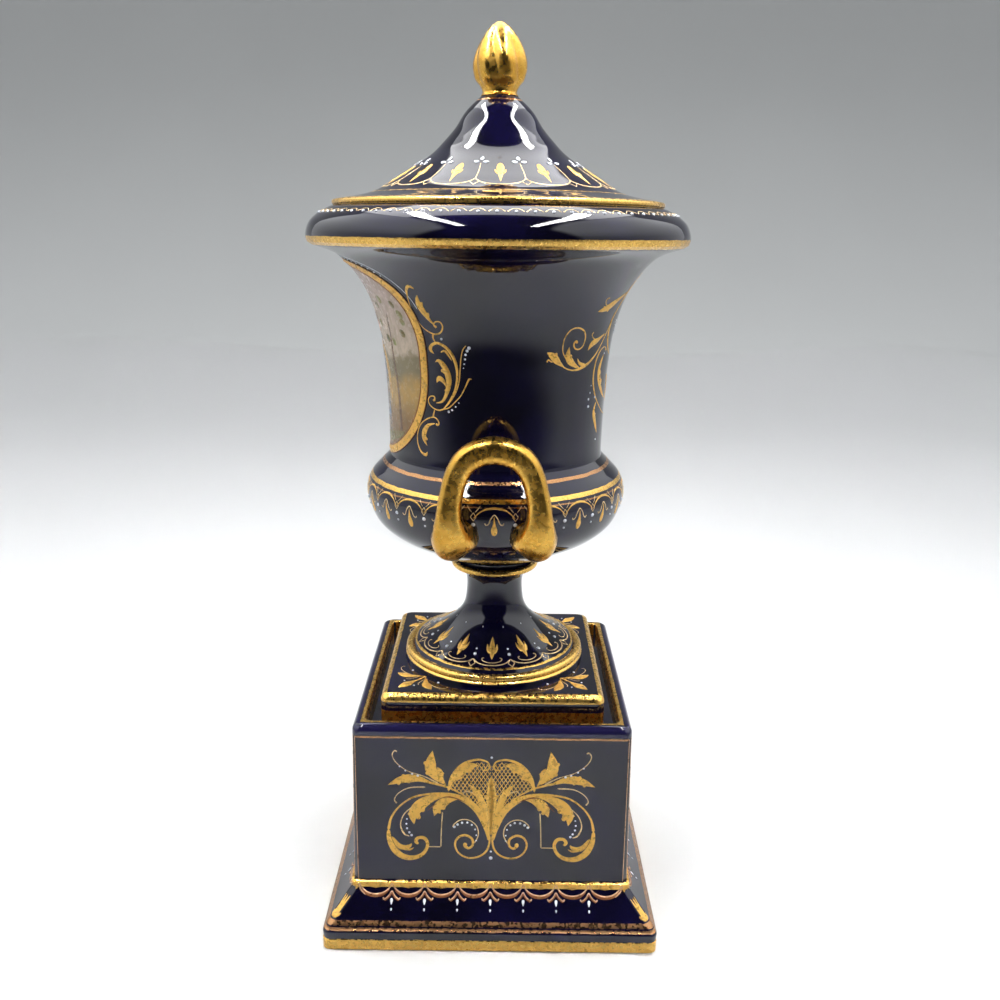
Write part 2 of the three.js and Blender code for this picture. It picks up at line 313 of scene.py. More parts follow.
class Graph:
    """A material's node tree, written as formulas."""

    def __init__(self, name: str) -> None:
        """Starts an empty material with one Principled shader.

        Args:
            name: The material's name.
        """
        self.material = bpy.data.materials.new(name)
        self.material.use_nodes = True
        self.tree = self.material.node_tree
        self.shader = self.tree.nodes["Principled BSDF"]
        self.place = self.tree.nodes.new("ShaderNodeTexCoord").outputs["Object"]
        parts = self.tree.nodes.new("ShaderNodeSeparateXYZ")
        self.tree.links.new(self.place, parts.inputs[0])
        self.x, self.y, self.z = parts.outputs

    def feed(self, socket: bpy.types.NodeSocket, value: object) -> None:
        """Links a socket to another, or sets its value.

        Args:
            socket: The socket to feed.
            value: The socket to link, or the value.
        """
        if isinstance(value, bpy.types.NodeSocket):
            self.tree.links.new(value, socket)
        elif value is not None:
            socket.default_value = value

    def calc(self, operation: str, *values: object) -> bpy.types.NodeSocket:
        """Adds a Math node.

        Args:
            operation: Its operation.
            values: Its inputs, sockets or numbers.

        Returns:
            Its output.
        """
        node = self.tree.nodes.new("ShaderNodeMath")
        node.operation = operation
        for socket, value in zip(node.inputs, values):
            self.feed(socket, value)
        return node.outputs[0]

    def within(self, value: object, low: float, high: float) -> bpy.types.NodeSocket:
        """Gives 1 where a value lies between two bounds, and 0 elsewhere."""
        return self.calc("COMPARE", value, (low + high) / 2, (high - low) / 2)

    def noise(self, scale: float, detail: float = 3, roughness: float = 0.55,
              stretch: tuple[float, float, float] = (1, 1, 1)) -> bpy.types.NodeSocket:
        """Adds a Noise texture on the object's own coordinates.

        Args:
            scale: Cells in a metre.
            detail: Its octaves.
            roughness: How strong the finer octaves are.
            stretch: Its scale along each axis.

        Returns:
            Its value, about 0.5 on average.
        """
        mapping = self.tree.nodes.new("ShaderNodeMapping")
        mapping.inputs["Scale"].default_value = stretch
        self.feed(mapping.inputs["Vector"], self.place)
        node = self.tree.nodes.new("ShaderNodeTexNoise")
        self.feed(node.inputs["Vector"], mapping.outputs[0])
        node.inputs["Scale"].default_value = scale
        node.inputs["Detail"].default_value = detail
        node.inputs["Roughness"].default_value = roughness
        return node.outputs["Fac"]

    def attribute(self, name: str) -> bpy.types.NodeSocket:
        """Reads a colour attribute of the mesh.

        Args:
            name: The attribute's name.

        Returns:
            Its colour.
        """
        node = self.tree.nodes.new("ShaderNodeAttribute")
        node.attribute_name = name
        return node.outputs["Color"]

    def span(self, value: object, low: float, high: float, start: float = 0,
             end: float = 1) -> bpy.types.NodeSocket:
        """Maps a value from one span smoothly onto another.

        Args:
            value: The socket to map.
            low: Where the mapped value is start.
            high: Where it is end.
            start: The result at low and below.
            end: The result at high and above.

        Returns:
            The mapped value.
        """
        node = self.tree.nodes.new("ShaderNodeMapRange")
        node.interpolation_type = "SMOOTHSTEP"
        for socket, number in zip(node.inputs, (value, low, high, start, end)):
            self.feed(socket, number)
        return node.outputs[0]

    def mix(self, share: object, first: object, second: object) -> bpy.types.NodeSocket:
        """Mixes two colours.

        Args:
            share: How much of the second is in it.
            first: A colour or socket.
            second: A colour or socket.

        Returns:
            The mixed colour.
        """
        node = self.tree.nodes.new("ShaderNodeMix")
        node.data_type = "RGBA"
        self.feed(node.inputs["Factor"], share)
        self.feed(node.inputs["A"], first)
        self.feed(node.inputs["B"], second)
        return node.outputs["Result"]

    def bump(self, height: object, distance: float, strength: float = 1) -> None:
        """Lets a height value dent the surface.

        Args:
            height: The height, from 0 to 1.
            distance: What a height of 1 stands for, in metres.
            strength: How much of it shows.
        """
        node = self.tree.nodes.new("ShaderNodeBump")
        node.inputs["Strength"].default_value = strength
        node.inputs["Distance"].default_value = distance
        self.feed(node.inputs["Height"], height)
        self.feed(self.shader.inputs["Normal"], node.outputs[0])


Color = tuple[float, float, float, float]


class Measure(Enum):
    """What a painted band's place is measured along."""

    RADIUS = "radius"
    SQUARE = "half side"


class Paint(Enum):
    """What a band is painted with."""

    GOLD = "burnished gold"
    COPPER = "thin, worn gold line"
    # Lighter violet-blue on a rounded edge: partly a painted sheen, partly the glaze running thin there.
    THIN = "glaze thinned by an edge"
    PORCELAIN = "bare white glaze"


@dataclass(frozen=True)
class Band:
    """A painted band: everywhere on the surface between two heights and two distances from the axis."""

    paint: Paint
    low: float
    high: float
    inner: float = 0.0
    outer: float = 99.0
    measure: Measure = Measure.RADIUS


@dataclass(frozen=True)
class CobaltGlaze:
    """The dark glaze, with the bands that are painted on it."""

    name: str
    bands: tuple[Band, ...] = ()
    deep: Color = (0.0016, 0.0012, 0.0065, 1)
    lit: Color = (0.0036, 0.0028, 0.021, 1)
    # thin: the edge band's lighter violet-blue, partly a painted sheen and partly thinner glaze.
    thin: Color = (0.010, 0.008, 0.040, 1)
    gold: Color = (0.83, 0.51, 0.13, 1)
    gold_dark: Color = (0.62, 0.34, 0.07, 1)
    copper: Color = (0.42, 0.22, 0.10, 1)
    porcelain: Color = (0.78, 0.79, 0.78, 1)

    def build(self) -> bpy.types.Material:
        """Makes the material.

        Returns:
            The glaze, gilt where its bands are.
        """
        graph = Graph(self.name)
        radius = graph.calc("SQRT", graph.calc(
            "ADD", graph.calc("MULTIPLY", graph.x, graph.x), graph.calc("MULTIPLY", graph.y, graph.y)))
        half = graph.calc("MAXIMUM", graph.calc("ABSOLUTE", graph.x), graph.calc("ABSOLUTE", graph.y))
        wobble = graph.calc("MULTIPLY", graph.calc("SUBTRACT", graph.noise(260, 2), 0.5), 0.45 * MM)
        height = graph.calc("ADD", graph.z, wobble)
        across = {
            Measure.RADIUS: graph.calc("ADD", radius, wobble),
            Measure.SQUARE: graph.calc("ADD", half, wobble),
        }
        masks: dict[Paint, bpy.types.NodeSocket] = {}
        for band in self.bands:
            inside = graph.calc(
                "MULTIPLY", graph.within(height, band.low * MM, band.high * MM),
                graph.within(across[band.measure], band.inner * MM, band.outer * MM))
            known = masks.get(band.paint)
            masks[band.paint] = inside if known is None else graph.calc("MAXIMUM", known, inside)
        cloud = graph.noise(45, 4)
        color = graph.mix(graph.span(cloud, 0.35, 0.7), self.deep, self.lit)
        metal: object = 0.0
        polish = graph.span(graph.noise(900, 2), 0.3, 0.7, 0.035, 0.075)
        grain = graph.noise(1400, 4, 0.7)
        gilt = graph.mix(graph.span(grain, 0.3, 0.5), self.gold_dark, self.gold)
        gilt_polish = graph.span(graph.noise(700, 3), 0.3, 0.7, 0.2, 0.36)
        for paint, tone in ((Paint.THIN, self.thin), (Paint.PORCELAIN, self.porcelain)):
            if paint in masks:
                color = graph.mix(masks[paint], color, tone)
        for paint, tone in ((Paint.COPPER, self.copper), (Paint.GOLD, gilt)):
            if paint in masks:
                color = graph.mix(masks[paint], color, tone)
                metal = graph.calc("MAXIMUM", metal, masks[paint])
        if metal != 0.0:
            polish = graph.calc("ADD", graph.calc("MULTIPLY", metal, gilt_polish),
                                graph.calc("MULTIPLY", graph.calc("SUBTRACT", 1.0, metal), polish))
        graph.feed(graph.shader.inputs["Base Color"], color)
        graph.feed(graph.shader.inputs["Metallic"], metal)
        graph.feed(graph.shader.inputs["Roughness"], polish)
        graph.shader.inputs["IOR"].default_value = 1.5
        graph.bump(graph.noise(330, 2), 0.012 * MM, 0.5)
        return graph.material


@dataclass(frozen=True)
class Gilding:
    """Burnished gold laid over the glaze, with faint brush streaks, dull patches and dark specks."""

    name: str = "gilding"
    bright: Color = (0.82, 0.48, 0.095, 1)
    dull: Color = (0.66, 0.35, 0.055, 1)
    speck: Color = (0.34, 0.16, 0.04, 1)
    smoothest: float = 0.18
    roughest: float = 0.36
    streak: float = 420

    def build(self) -> bpy.types.Material:
        """Makes the material.

        Returns:
            The gilding.
        """
        graph = Graph(self.name)
        patches = graph.span(graph.noise(150, 4, 0.6), 0.36, 0.6)
        color = graph.mix(patches, self.dull, self.bright)
        streaks = graph.noise(self.streak, 3, 0.6, (1, 1, 0.25))
        color = graph.mix(graph.span(streaks, 0.3, 0.62, 0.4, 0), color, self.dull)
        specks = graph.span(graph.noise(1100, 2), 0.72, 0.8)
        color = graph.mix(specks, color, self.speck)
        graph.feed(graph.shader.inputs["Base Color"], color)
        graph.shader.inputs["Metallic"].default_value = 1.0
        graph.feed(graph.shader.inputs["Roughness"],
                   graph.span(graph.noise(500, 3), 0.3, 0.7, self.smoothest, self.roughest))
        graph.bump(streaks, 0.02 * MM, 0.4)
        return graph.material


@dataclass(frozen=True)
class BrushedGold:
    """Thin gold brushed on the glaze, in the mesh's own pigment, a little worn and uneven."""

    name: str = "brushed_gold"
    worn: Color = (0.30, 0.17, 0.06, 1)
    metallic: float = 0.45

    def build(self) -> bpy.types.Material:
        """Makes the material.

        Returns:
            The brushed gold.
        """
        graph = Graph(self.name)
        wear = graph.span(graph.noise(800, 4, 0.65), 0.34, 0.52, 0.55, 0)
        graph.feed(graph.shader.inputs["Base Color"], graph.mix(wear, graph.attribute("pigment"), self.worn))
        graph.shader.inputs["Metallic"].default_value = self.metallic
        graph.feed(graph.shader.inputs["Roughness"], graph.span(graph.noise(500, 3), 0.3, 0.7, 0.26, 0.42))
        graph.bump(graph.noise(1500, 3), 0.02 * MM, 0.6)
        return graph.material


@dataclass(frozen=True)
class PaintedEnamel:
    """Matt enamel colours, in the mesh's own pigment, softly brushed."""

    name: str = "painted_enamel"
    glaze: Color = (0.30, 0.17, 0.08, 1)

    def build(self) -> bpy.types.Material:
        """Makes the material.

        Returns:
            The enamel.
        """
        graph = Graph(self.name)
        cloud = graph.span(graph.noise(420, 4, 0.6), 0.35, 0.65, 0.0, 0.45)
        graph.feed(graph.shader.inputs["Base Color"], graph.mix(cloud, graph.attribute("pigment"),
                                                                self.glaze))
        graph.feed(graph.shader.inputs["Roughness"], graph.span(graph.noise(600, 2), 0.3, 0.7, 0.2, 0.35))
        return graph.material


@dataclass(frozen=True)
class PaintedLandscape:
    """The medallion's ground: a rosy evening sky over olive hills and an ochre meadow."""

    name: str = "painted_landscape"
    high_sky: Color = (0.50, 0.36, 0.31, 1)
    low_sky: Color = (0.62, 0.50, 0.38, 1)
    hills: Color = (0.21, 0.17, 0.09, 1)
    meadow: Color = (0.47, 0.29, 0.085, 1)
    earth: Color = (0.20, 0.11, 0.04, 1)
    horizon: float = 197.0

    def build(self) -> bpy.types.Material:
        """Makes the material.

        Returns:
            The landscape.
        """
        graph = Graph(self.name)
        drift = graph.calc("MULTIPLY", graph.calc("SUBTRACT", graph.noise(60, 5, 0.6), 0.5), 16 * MM)
        height = graph.calc("ADD", graph.z, drift)
        line = self.horizon * MM
        sky = graph.mix(graph.span(height, line, line + 26 * MM), self.low_sky, self.high_sky)
        land = graph.mix(graph.span(height, line - 24 * MM, line - 10 * MM), self.earth, self.meadow)
        land = graph.mix(graph.span(height, line - 9 * MM, line - 4 * MM), land, self.hills)
        color = graph.mix(graph.span(height, line - 1 * MM, line + 2 * MM), land, sky)
        dabs = graph.span(graph.noise(500, 4, 0.6, (1, 1, 0.5)), 0.35, 0.65, 0.0, 0.35)
        graph.feed(graph.shader.inputs["Base Color"], graph.mix(dabs, color, self.hills))
        graph.feed(graph.shader.inputs["Roughness"], graph.span(graph.noise(600, 2), 0.3, 0.7, 0.16, 0.3))
        return graph.material


@dataclass(frozen=True)
class WhiteEnamel:
    """Raised white enamel, glossy and a little uneven."""

    name: str = "white_enamel"
    white: Color = (0.84, 0.86, 0.90, 1)
    shade: Color = (0.62, 0.65, 0.72, 1)

    def build(self) -> bpy.types.Material:
        """Makes the material.

        Returns:
            The enamel.
        """
        graph = Graph(self.name)
        graph.feed(graph.shader.inputs["Base Color"],
                   graph.mix(graph.span(graph.noise(900, 2), 0.35, 0.65), self.shade, self.white))
        graph.feed(graph.shader.inputs["Roughness"],
                   graph.span(graph.noise(1500, 2), 0.3, 0.7, 0.12, 0.25))
        return graph.material


# ---------------------------------------------------------------- the urn's pieces

def hand_over(piece: bpy.types.Object, slot: str, material: bpy.types.Material, *nodes: str) -> None:
    """Dresses a finished piece and gives it to the frame.

    Args:
        piece: The finished object.
        slot: The record's material slot; not used.
        material: What it is finished with.
        nodes: The CAD nodes it stands for.
    """
    piece.data.materials.clear()
    piece.data.materials.append(material)
    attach(piece, "root")
    if nodes:
        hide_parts(*nodes)
    LOG.info("%s: %d faces", piece.name, len(piece.data.polygons))


# ---------------------------------------------------------------- brushwork

class Pigment(Enum):
    """What a motif is painted with: the material slot and the colour."""

    GOLD = ("gilding", (0.80, 0.46, 0.09))
    # Fine gold lines are real gilding; their paler colour is a painted reflection of the light these thin
    # lines catch.
    PALE_GOLD = ("gilding", (0.78, 0.56, 0.27))
    ROSE_GOLD = ("gilding", (0.60, 0.36, 0.22))
    # A dark red-brown: veins and lines in the gilding, and painted shadows under each medallion bead and each
    # chevron of the base.
    SHADE = ("gilding", (0.22, 0.07, 0.02))
    WHITE = ("white_enamel", (0.84, 0.86, 0.90))
    FLESH = ("painted_panel", (0.70, 0.42, 0.31))
    ROSE = ("painted_panel", (0.56, 0.20, 0.17))
    LINEN = ("painted_panel", (0.72, 0.66, 0.56))
    BLUE = ("painted_panel", (0.12, 0.19, 0.30))
    OCHRE = ("painted_panel", (0.60, 0.36, 0.09))
    OLIVE = ("painted_panel", (0.13, 0.13, 0.04))
    LEAF_GREEN = ("painted_panel", (0.22, 0.24, 0.08))
    UMBER = ("painted_panel", (0.10, 0.05, 0.025))


@dataclass(frozen=True)
class Stroke:
    """A brush stroke: a soft line with its half widths, both spread evenly along it."""

    points: tuple[Point, ...]
    widths: tuple[float, ...]
    pigment: Pigment = Pigment.GOLD
    lift: float = 0.0
    closed: bool = False
    blunt: bool = False

    def sample(self) -> list[tuple[float, float, float]]:
        """Draws the stroke finely.

        Returns:
            The sideways place, the place along and the half width of each of its points.
        """
        length = sum(math.dist(here, there) for here, there in pairwise(self.points))
        steps = max(4 * (len(self.points) - 1), math.ceil(length / STROKE_STEP))
        places = smooth(self.points, steps)
        halves = smooth([(width,) for width in self.widths], steps)
        run = [0.0]
        for here, there in pairwise(places):
            run.append(run[-1] + math.dist(here, there))
        drawn = []
        for (sideways, along), (half,), here in zip(places, halves, run):
            reach = min(here, run[-1] - here)
            if reach < half and not (self.closed or self.blunt):
                half *= math.sqrt(1 - (1 - reach / half) ** 2)
            drawn.append((sideways, along, max(half, THINNEST)))
        return drawn[:-1] if self.closed else drawn


@dataclass(frozen=True)
class Dot:
    """A raised dot of enamel or paste gold."""

    sideways: float
    along: float
    radius: float
    pigment: Pigment = Pigment.WHITE
    lift: float = 0.0


@dataclass(frozen=True)
class Spot:
    """Where a motif is laid: its middle, and whether it is mirrored."""

    sideways: float = 0.0
    along: float = 0.0
    mirrored: bool = False

    def place(self, flat: np.ndarray) -> np.ndarray:
        """Moves a flat drawing to the spot.

        Args:
            flat: Its (sideways, along, raised) points.

        Returns:
            The moved points.
        """
        hand = -1 if self.mirrored else 1
        return np.column_stack([hand * flat[:, 0] + self.sideways, flat[:, 1] + self.along, flat[:, 2]])


BOTH_SIDES = (Spot(), Spot(mirrored=True))


@dataclass(frozen=True)
class Drawing:
    """A flat mesh in one pigment."""

    points: np.ndarray
    faces: list[tuple[int, ...]]
    pigment: Pigment


@dataclass(frozen=True)
class Motif:
    """A piece of ornament, drawn flat in millimetres about its own middle."""

    strokes: tuple[Stroke, ...] = ()
    dots: tuple[Dot, ...] = ()

    def draw(self) -> list[Drawing]:
        """Makes the motif's flat meshes.

        Returns:
            One drawing for each pigment and height of its strokes, and one for each of its dots.
        """
        groups: dict[tuple[Pigment, float], list[Stroke]] = {}
        for stroke in self.strokes:
            groups.setdefault((stroke.pigment, stroke.lift), []).append(stroke)
        drawings = [draw_strokes(strokes, *key) for key, strokes in groups.items()]
        if self.dots:
            dome, faces = model_dome()
            for dot in self.dots:
                points = dome * dot.radius + np.array((dot.sideways, dot.along, dot.lift))
                drawings.append(Drawing(points, faces, dot.pigment))
        return drawings


def read_mesh(piece: bpy.types.Object) -> tuple[np.ndarray, list[tuple[int, ...]]]:
    """Takes a scratch object's mesh and removes the object.

    Args:
        piece: The scratch object.

    Returns:
        Its points and its faces.
    """
    points = np.empty(len(piece.data.vertices) * 3)
    piece.data.vertices.foreach_get("co", points)
    faces = [tuple(face.vertices) for face in piece.data.polygons]
    bpy.data.objects.remove(piece)
    return points.reshape(-1, 3), faces


def draw_strokes(strokes: Sequence[Stroke], pigment: Pigment, lift: float) -> Drawing:
    """Draws strokes as a curve with a round nib, and presses them nearly flat.

    Args:
        strokes: The strokes.
        pigment: What they are painted with.
        lift: How far they are raised, in millimetres.

    Returns:
        The drawing.
    """
    start_clean()
    line = bpy.data.curves.new("brushwork", "CURVE")
    line.dimensions = "3D"
    line.twist_mode = "Z_UP"
    line.bevel_depth = 1
    line.bevel_resolution = 1
    line.use_fill_caps = True
    for stroke in strokes:
        drawn = stroke.sample()
        spline = line.splines.new("POLY")
        spline.points.add(len(drawn) - 1)
        for point, (sideways, along, half) in zip(spline.points, drawn):
            point.co = (sideways, along, 0, 1)
            point.radius = half
        spline.use_cyclic_u = stroke.closed
    board = bpy.data.objects.new("brushwork", line)
    bpy.context.scene.collection.objects.link(board)
    select_only(board)
    bpy.ops.object.convert(target="MESH")
    points, faces = read_mesh(bpy.context.active_object)
    points[:, 2] = lift + BRUSH_HEIGHT * np.tanh(points[:, 2] / (2 * BRUSH_HEIGHT))
    return Drawing(points, faces, pigment)


def model_dome() -> tuple[np.ndarray, list[tuple[int, ...]]]:
    """Models the dot that every pearl and bead is a copy of.

    Returns:
        The points of a slightly flattened ball of radius 1, and its faces.
    """
    start_clean()
    bpy.ops.mesh.primitive_uv_sphere_add(segments=9, ring_count=5, radius=1)
    points, faces = read_mesh(bpy.context.active_object)
    points[:, 2] *= 0.7
    return points, faces


def follow(outline: Sequence[Point], along: np.ndarray) -> tuple[np.ndarray, ...]:
    """Finds places on an outline.

    Args:
        outline: The (distance from the axis, height) points of a surface.
        along: Distances along it from its first point.

    Returns:
        The distances from the axis, the heights, and the two parts of the outward normal.
    """
    points = np.array(outline)
    run = np.concatenate([[0], np.cumsum(np.hypot(*np.diff(points, axis=0).T))])
    slope = np.gradient(points, run, axis=0)
    across, height, forward, rise = (
        np.interp(along, run, column) for column in (*points.T, *slope.T))
    size = np.hypot(forward, rise)
    return across, height, rise / size, -forward / size


@dataclass(frozen=True)
class TurnedGround:
    """A turned surface to paint on."""

    outline: Sequence[Point]
    girth: float
    facing: float = FRONT

    def lay(self, flat: np.ndarray) -> np.ndarray:
        """Lays a drawing on the surface.

        Args:
            flat: Its (sideways, along, raised) points; sideways is true at the radius called girth.

        Returns:
            Its points in space, in millimetres.
        """
        across, height, out, up = follow(self.outline, flat[:, 1])
        angle = self.facing + flat[:, 0] / self.girth
        reach = across + out * flat[:, 2]
        return np.column_stack([reach * np.cos(angle), reach * np.sin(angle), height + up * flat[:, 2]])


@dataclass(frozen=True)
class SideGround:
    """One side of a square piece, to paint on, wrapped round its rounded corners."""

    outline: Sequence[Point]
    quarter: int
    corner: float = 0.0

    def lay(self, flat: np.ndarray) -> np.ndarray:
        """Lays a drawing on the side.

        Args:
            flat: Its (sideways, along, raised) points.

        Returns:
            Its points in space, in millimetres.
        """
        across, height, out, up = follow(self.outline, flat[:, 1])
        past = np.maximum(np.abs(flat[:, 0]) - (across - self.corner), 0) if self.corner else 0 * across
        bend = past / (self.corner or 1)
        hand = np.sign(flat[:, 0])
        reach = out * flat[:, 2]
        sideways = (flat[:, 0] - hand * past) + hand * (self.corner + reach) * np.sin(bend)
        ahead = across - self.corner + (self.corner + reach) * np.cos(bend)
        turn = math.tau / 4 * self.quarter
        return np.column_stack([
            sideways * math.cos(turn) + ahead * math.sin(turn),
            sideways * math.sin(turn) - ahead * math.cos(turn),
            height + up * flat[:, 2],
        ])


def around(count: int, girth: float, shift: float = 0.0) -> list[Spot]:
    """Spreads spots evenly around a turned surface.

    Args:
        count: How many there are.
        girth: The ground's girth.
        shift: The first one's angle, in degrees from the front.

    Returns:
        The spots.
    """
    return [Spot(girth * (math.tau * step / count + math.radians(shift))) for step in range(count)]


class Decoration:
    """The painted ornament of one sub-assembly, gathered into one piece for each material slot."""

    def __init__(self, name: str) -> None:
        """Starts with nothing painted.

        Args:
            name: The name that its pieces' names start with.
        """
        self.name = name
        self.points: dict[str, list[np.ndarray]] = {}
        self.colors: dict[str, list[np.ndarray]] = {}
        self.faces: dict[str, list[tuple[int, ...]]] = {}
        self.counts: dict[str, int] = {}

    def lay(self, motif: Motif, ground: TurnedGround | SideGround, spots: Sequence[Spot] = (Spot(),)) -> None:
        """Draws a motif once and lays a copy at each spot.

        Args:
            motif: The motif.
            ground: The surface.
            spots: The spots on it.
        """
        for drawing in motif.draw():
            slot, color = drawing.pigment.value
            for spot in spots:
                first = self.counts.get(slot, 0)
                self.points.setdefault(slot, []).append(ground.lay(spot.place(drawing.points)))
                self.colors.setdefault(slot, []).append(np.tile((*color, 1.0), (len(drawing.points), 1)))
                self.faces.setdefault(slot, []).extend(
                    tuple(first + index for index in face) for face in drawing.faces)
                self.counts[slot] = first + len(drawing.points)

    def build(self) -> None:
        """Makes the pieces and hands them over."""
        finishes = {"gilding": BrushedGold(), "white_enamel": WhiteEnamel(), "painted_panel": PaintedEnamel()}
        for slot, points in self.points.items():
            mesh = bpy.data.meshes.new(f"{self.name}_{slot}")
            mesh.from_pydata((np.concatenate(points) * MM).tolist(), [], self.faces[slot])
            colors = mesh.attributes.new("pigment", "FLOAT_COLOR", "POINT")
            colors.data.foreach_set("color", np.concatenate(self.colors[slot]).ravel())
            piece = bpy.data.objects.new(mesh.name, mesh)
            bpy.context.scene.collection.objects.link(piece)
            select_only(piece)
            bpy.ops.object.mode_set(mode="EDIT")
            bpy.ops.mesh.select_all(action="SELECT")
            bpy.ops.mesh.normals_make_consistent(inside=False)
            bpy.ops.object.mode_set(mode="OBJECT")
            soften(piece, math.radians(70))
            hand_over(piece, slot, finishes[slot].build())


# ---------------------------------------------------------------- motifs

def leaf(path: Sequence[Point], width: float, lobes: Sequence[Point] = (),
         vein: bool = True) -> tuple[Stroke, ...]:
    """Paints a pointed acanthus leaf with hooked lobes.

    Args:
        path: Its midrib, from the stalk to the tip.
        width: Its half width where it is widest.
        lobes: For each lobe, its place along the midrib (0 to 1) and its length, negative on the right.
        vein: Whether a reddish vein is drawn on it.

    Returns:
        Its strokes.
    """
    strokes = [Stroke(tuple(path), (0.12, 0.55 * width, width, 0.8 * width, 0.06))]
    rib = smooth(path, 40)
    for place, length in lobes:
        index = min(int(place * 40), 38)
        (u, v), (next_u, next_v) = rib[index], rib[index + 1]
        size = math.dist((u, v), (next_u, next_v))
        ahead = ((next_u - u) / size, (next_v - v) / size)
        side = (-ahead[1], ahead[0])
        reach = abs(length)
        hand = math.copysign(1, length)
        bends = ((0.0, -0.35), (0.5, 0.15), (0.95, 0.6), (1.15, 0.25))
        points = tuple(
            (u + reach * (hand * side[0] * out + ahead[0] * on),
             v + reach * (hand * side[1] * out + ahead[1] * on))
            for out, on in bends)
        strokes.append(Stroke(points, (0.3 * reach, 0.42 * reach, 0.3 * reach, 0.05)))
    if vein:
        strokes.append(Stroke(tuple(rib[6:31:4]), (0.05, 0.16 * width, 0.05), Pigment.SHADE, 0.05))
    return tuple(strokes)


def pearls(points: Sequence[Point], radii: Sequence[float]) -> tuple[Dot, ...]:
    """Sets a row of white pearls that grow or shrink evenly.

    Args:
        points: The row's course.
        radii: The first and the last pearl's radius, and how many there are.

    Returns:
        The pearls.
    """
    first, last, count = radii
    row = smooth(points, int(count) - 1)
    return tuple(
        Dot(u, v, first + (last - first) * index / (len(row) - 1)) for index, (u, v) in enumerate(row))


def diamond(middle: Point, half_width: float, half_height: float, width: float) -> Stroke:
    """Paints the outline of a small diamond.

    Args:
        middle: Its middle.
        half_width: Half its width.
        half_height: Half its height.
        width: The line's half width.

    Returns:
        The stroke.
    """
    u, v = middle
    corners = ((u, v - half_height), (u + half_width, v), (u, v + half_height), (u - half_width, v))
    round_trip = [
        (a[0] + (b[0] - a[0]) * share, a[1] + (b[1] - a[1]) * share)
        for a, b in pairwise((*corners, corners[0])) for share in (0, 0.5)
    ]
    return Stroke((*round_trip, corners[0]), (width, width), Pigment.PALE_GOLD, closed=True)


def net(border: Sequence[Point], pitch: float, width: float) -> tuple[Stroke, ...]:
    """Fills a bordered field with a net of crossed lines.

    Args:
        border: The field's corners, in order.
        pitch: The distance between lines.
        width: Their half width.

    Returns:
        The strokes.
    """
    def inside(u: float, v: float) -> bool:
        """Tells whether a point lies in the field.

        Args:
            u: Its place sideways.
            v: Its place along.

        Returns:
            True where it does.
        """
        found = False
        for (u0, v0), (u1, v1) in pairwise((*border, border[0])):
            if (v0 > v) != (v1 > v) and u < u0 + (v - v0) / (v1 - v0) * (u1 - u0):
                found = not found
        return found

    reach = max(math.hypot(u, v) for u, v in border)
    strokes = []
    for lean in (math.radians(32), math.radians(-32)):
        ahead = (math.sin(lean), math.cos(lean))
        for index in range(int(-reach / pitch), int(reach / pitch) + 1):
            foot = (index * pitch * ahead[1], -index * pitch * ahead[0])
            run: list[Point] = []
            for step in range(int(-2 * reach), int(2 * reach) + 1):
                place = (foot[0] + ahead[0] * step * 0.5, foot[1] + ahead[1] * step * 0.5)
                if inside(*place):
                    run.append(place)
                elif run:
                    if len(run) > 1:
                        strokes.append(Stroke((run[0], run[-1]), (width, width)))
                    run = []
    return tuple(strokes)


def hung_scallop(half: float, cusp: float, belly: float, width: float, pigment: Pigment) -> Stroke:
    """Paints one arc of a scalloped line.

    Args:
        half: Half its span.
        cusp: How far along the ground its ends are.
        belly: How far along its middle is.
        width: Its half width.
        pigment: What it is painted with.

    Returns:
        The stroke.
    """
    drop = belly - cusp
    points = ((-half, cusp), (-0.72 * half, cusp + 0.62 * drop), (-0.36 * half, cusp + 0.93 * drop),
              (0, belly), (0.36 * half, cusp + 0.93 * drop), (0.72 * half, cusp + 0.62 * drop), (half, cusp))
    return Stroke(points, (0.7 * width, width, 1.1 * width, width, 0.7 * width), pigment)


def lid_cell(half: float) -> Motif:
    """One cell of the lid's border: a scallop, a drop-shaped leaf, and half its neighbours' trefoils.

    Args:
        half: Half the cell's width.

    Returns:
        The motif, with the cusp on the right.
    """
    return Motif((
        hung_scallop(half, 18.4, 15.4, 0.24, Pigment.PALE_GOLD),
        diamond((half, 16.9), 1.3, 1.9, 0.13),
        Stroke(((half, 18.7), (half + 0.25, 23), (half, 27.6)), (0.16, 0.16, 0.12), Pigment.PALE_GOLD),
        Stroke(((0, 16.9), (0, 19.6), (0, 22.6), (0, 25.4), (0, 27.6)), (0.05, 0.5, 1.15, 1.35, 0.7)),
        Stroke(((0.7, 21.6), (1.5, 22.7), (1.95, 24.0)), (0.5, 0.4, 0.05)),
        Stroke(((-0.7, 21.6), (-1.5, 22.7), (-1.95, 24.0)), (0.5, 0.4, 0.05)),
        Stroke(((0, 20.4), (0, 23.4), (0, 26)), (0.05, 0.2, 0.05), Pigment.SHADE, 0.05),
        Stroke(((half - 0.7, 28.1), (half - 1.9, 28.2), (half - 3.1, 28.4)), (0.45, 0.75, 0.3),
               Pigment.WHITE, 0.1),
        Stroke(((half + 0.7, 28.1), (half + 1.9, 28.2), (half + 3.1, 28.4)), (0.45, 0.75, 0.3),
               Pigment.WHITE, 0.1),
        Stroke(((half, 28.9), (half, 30.1), (half + 0.1, 31.3)), (0.5, 0.85, 0.3), Pigment.WHITE, 0.1),
    ))


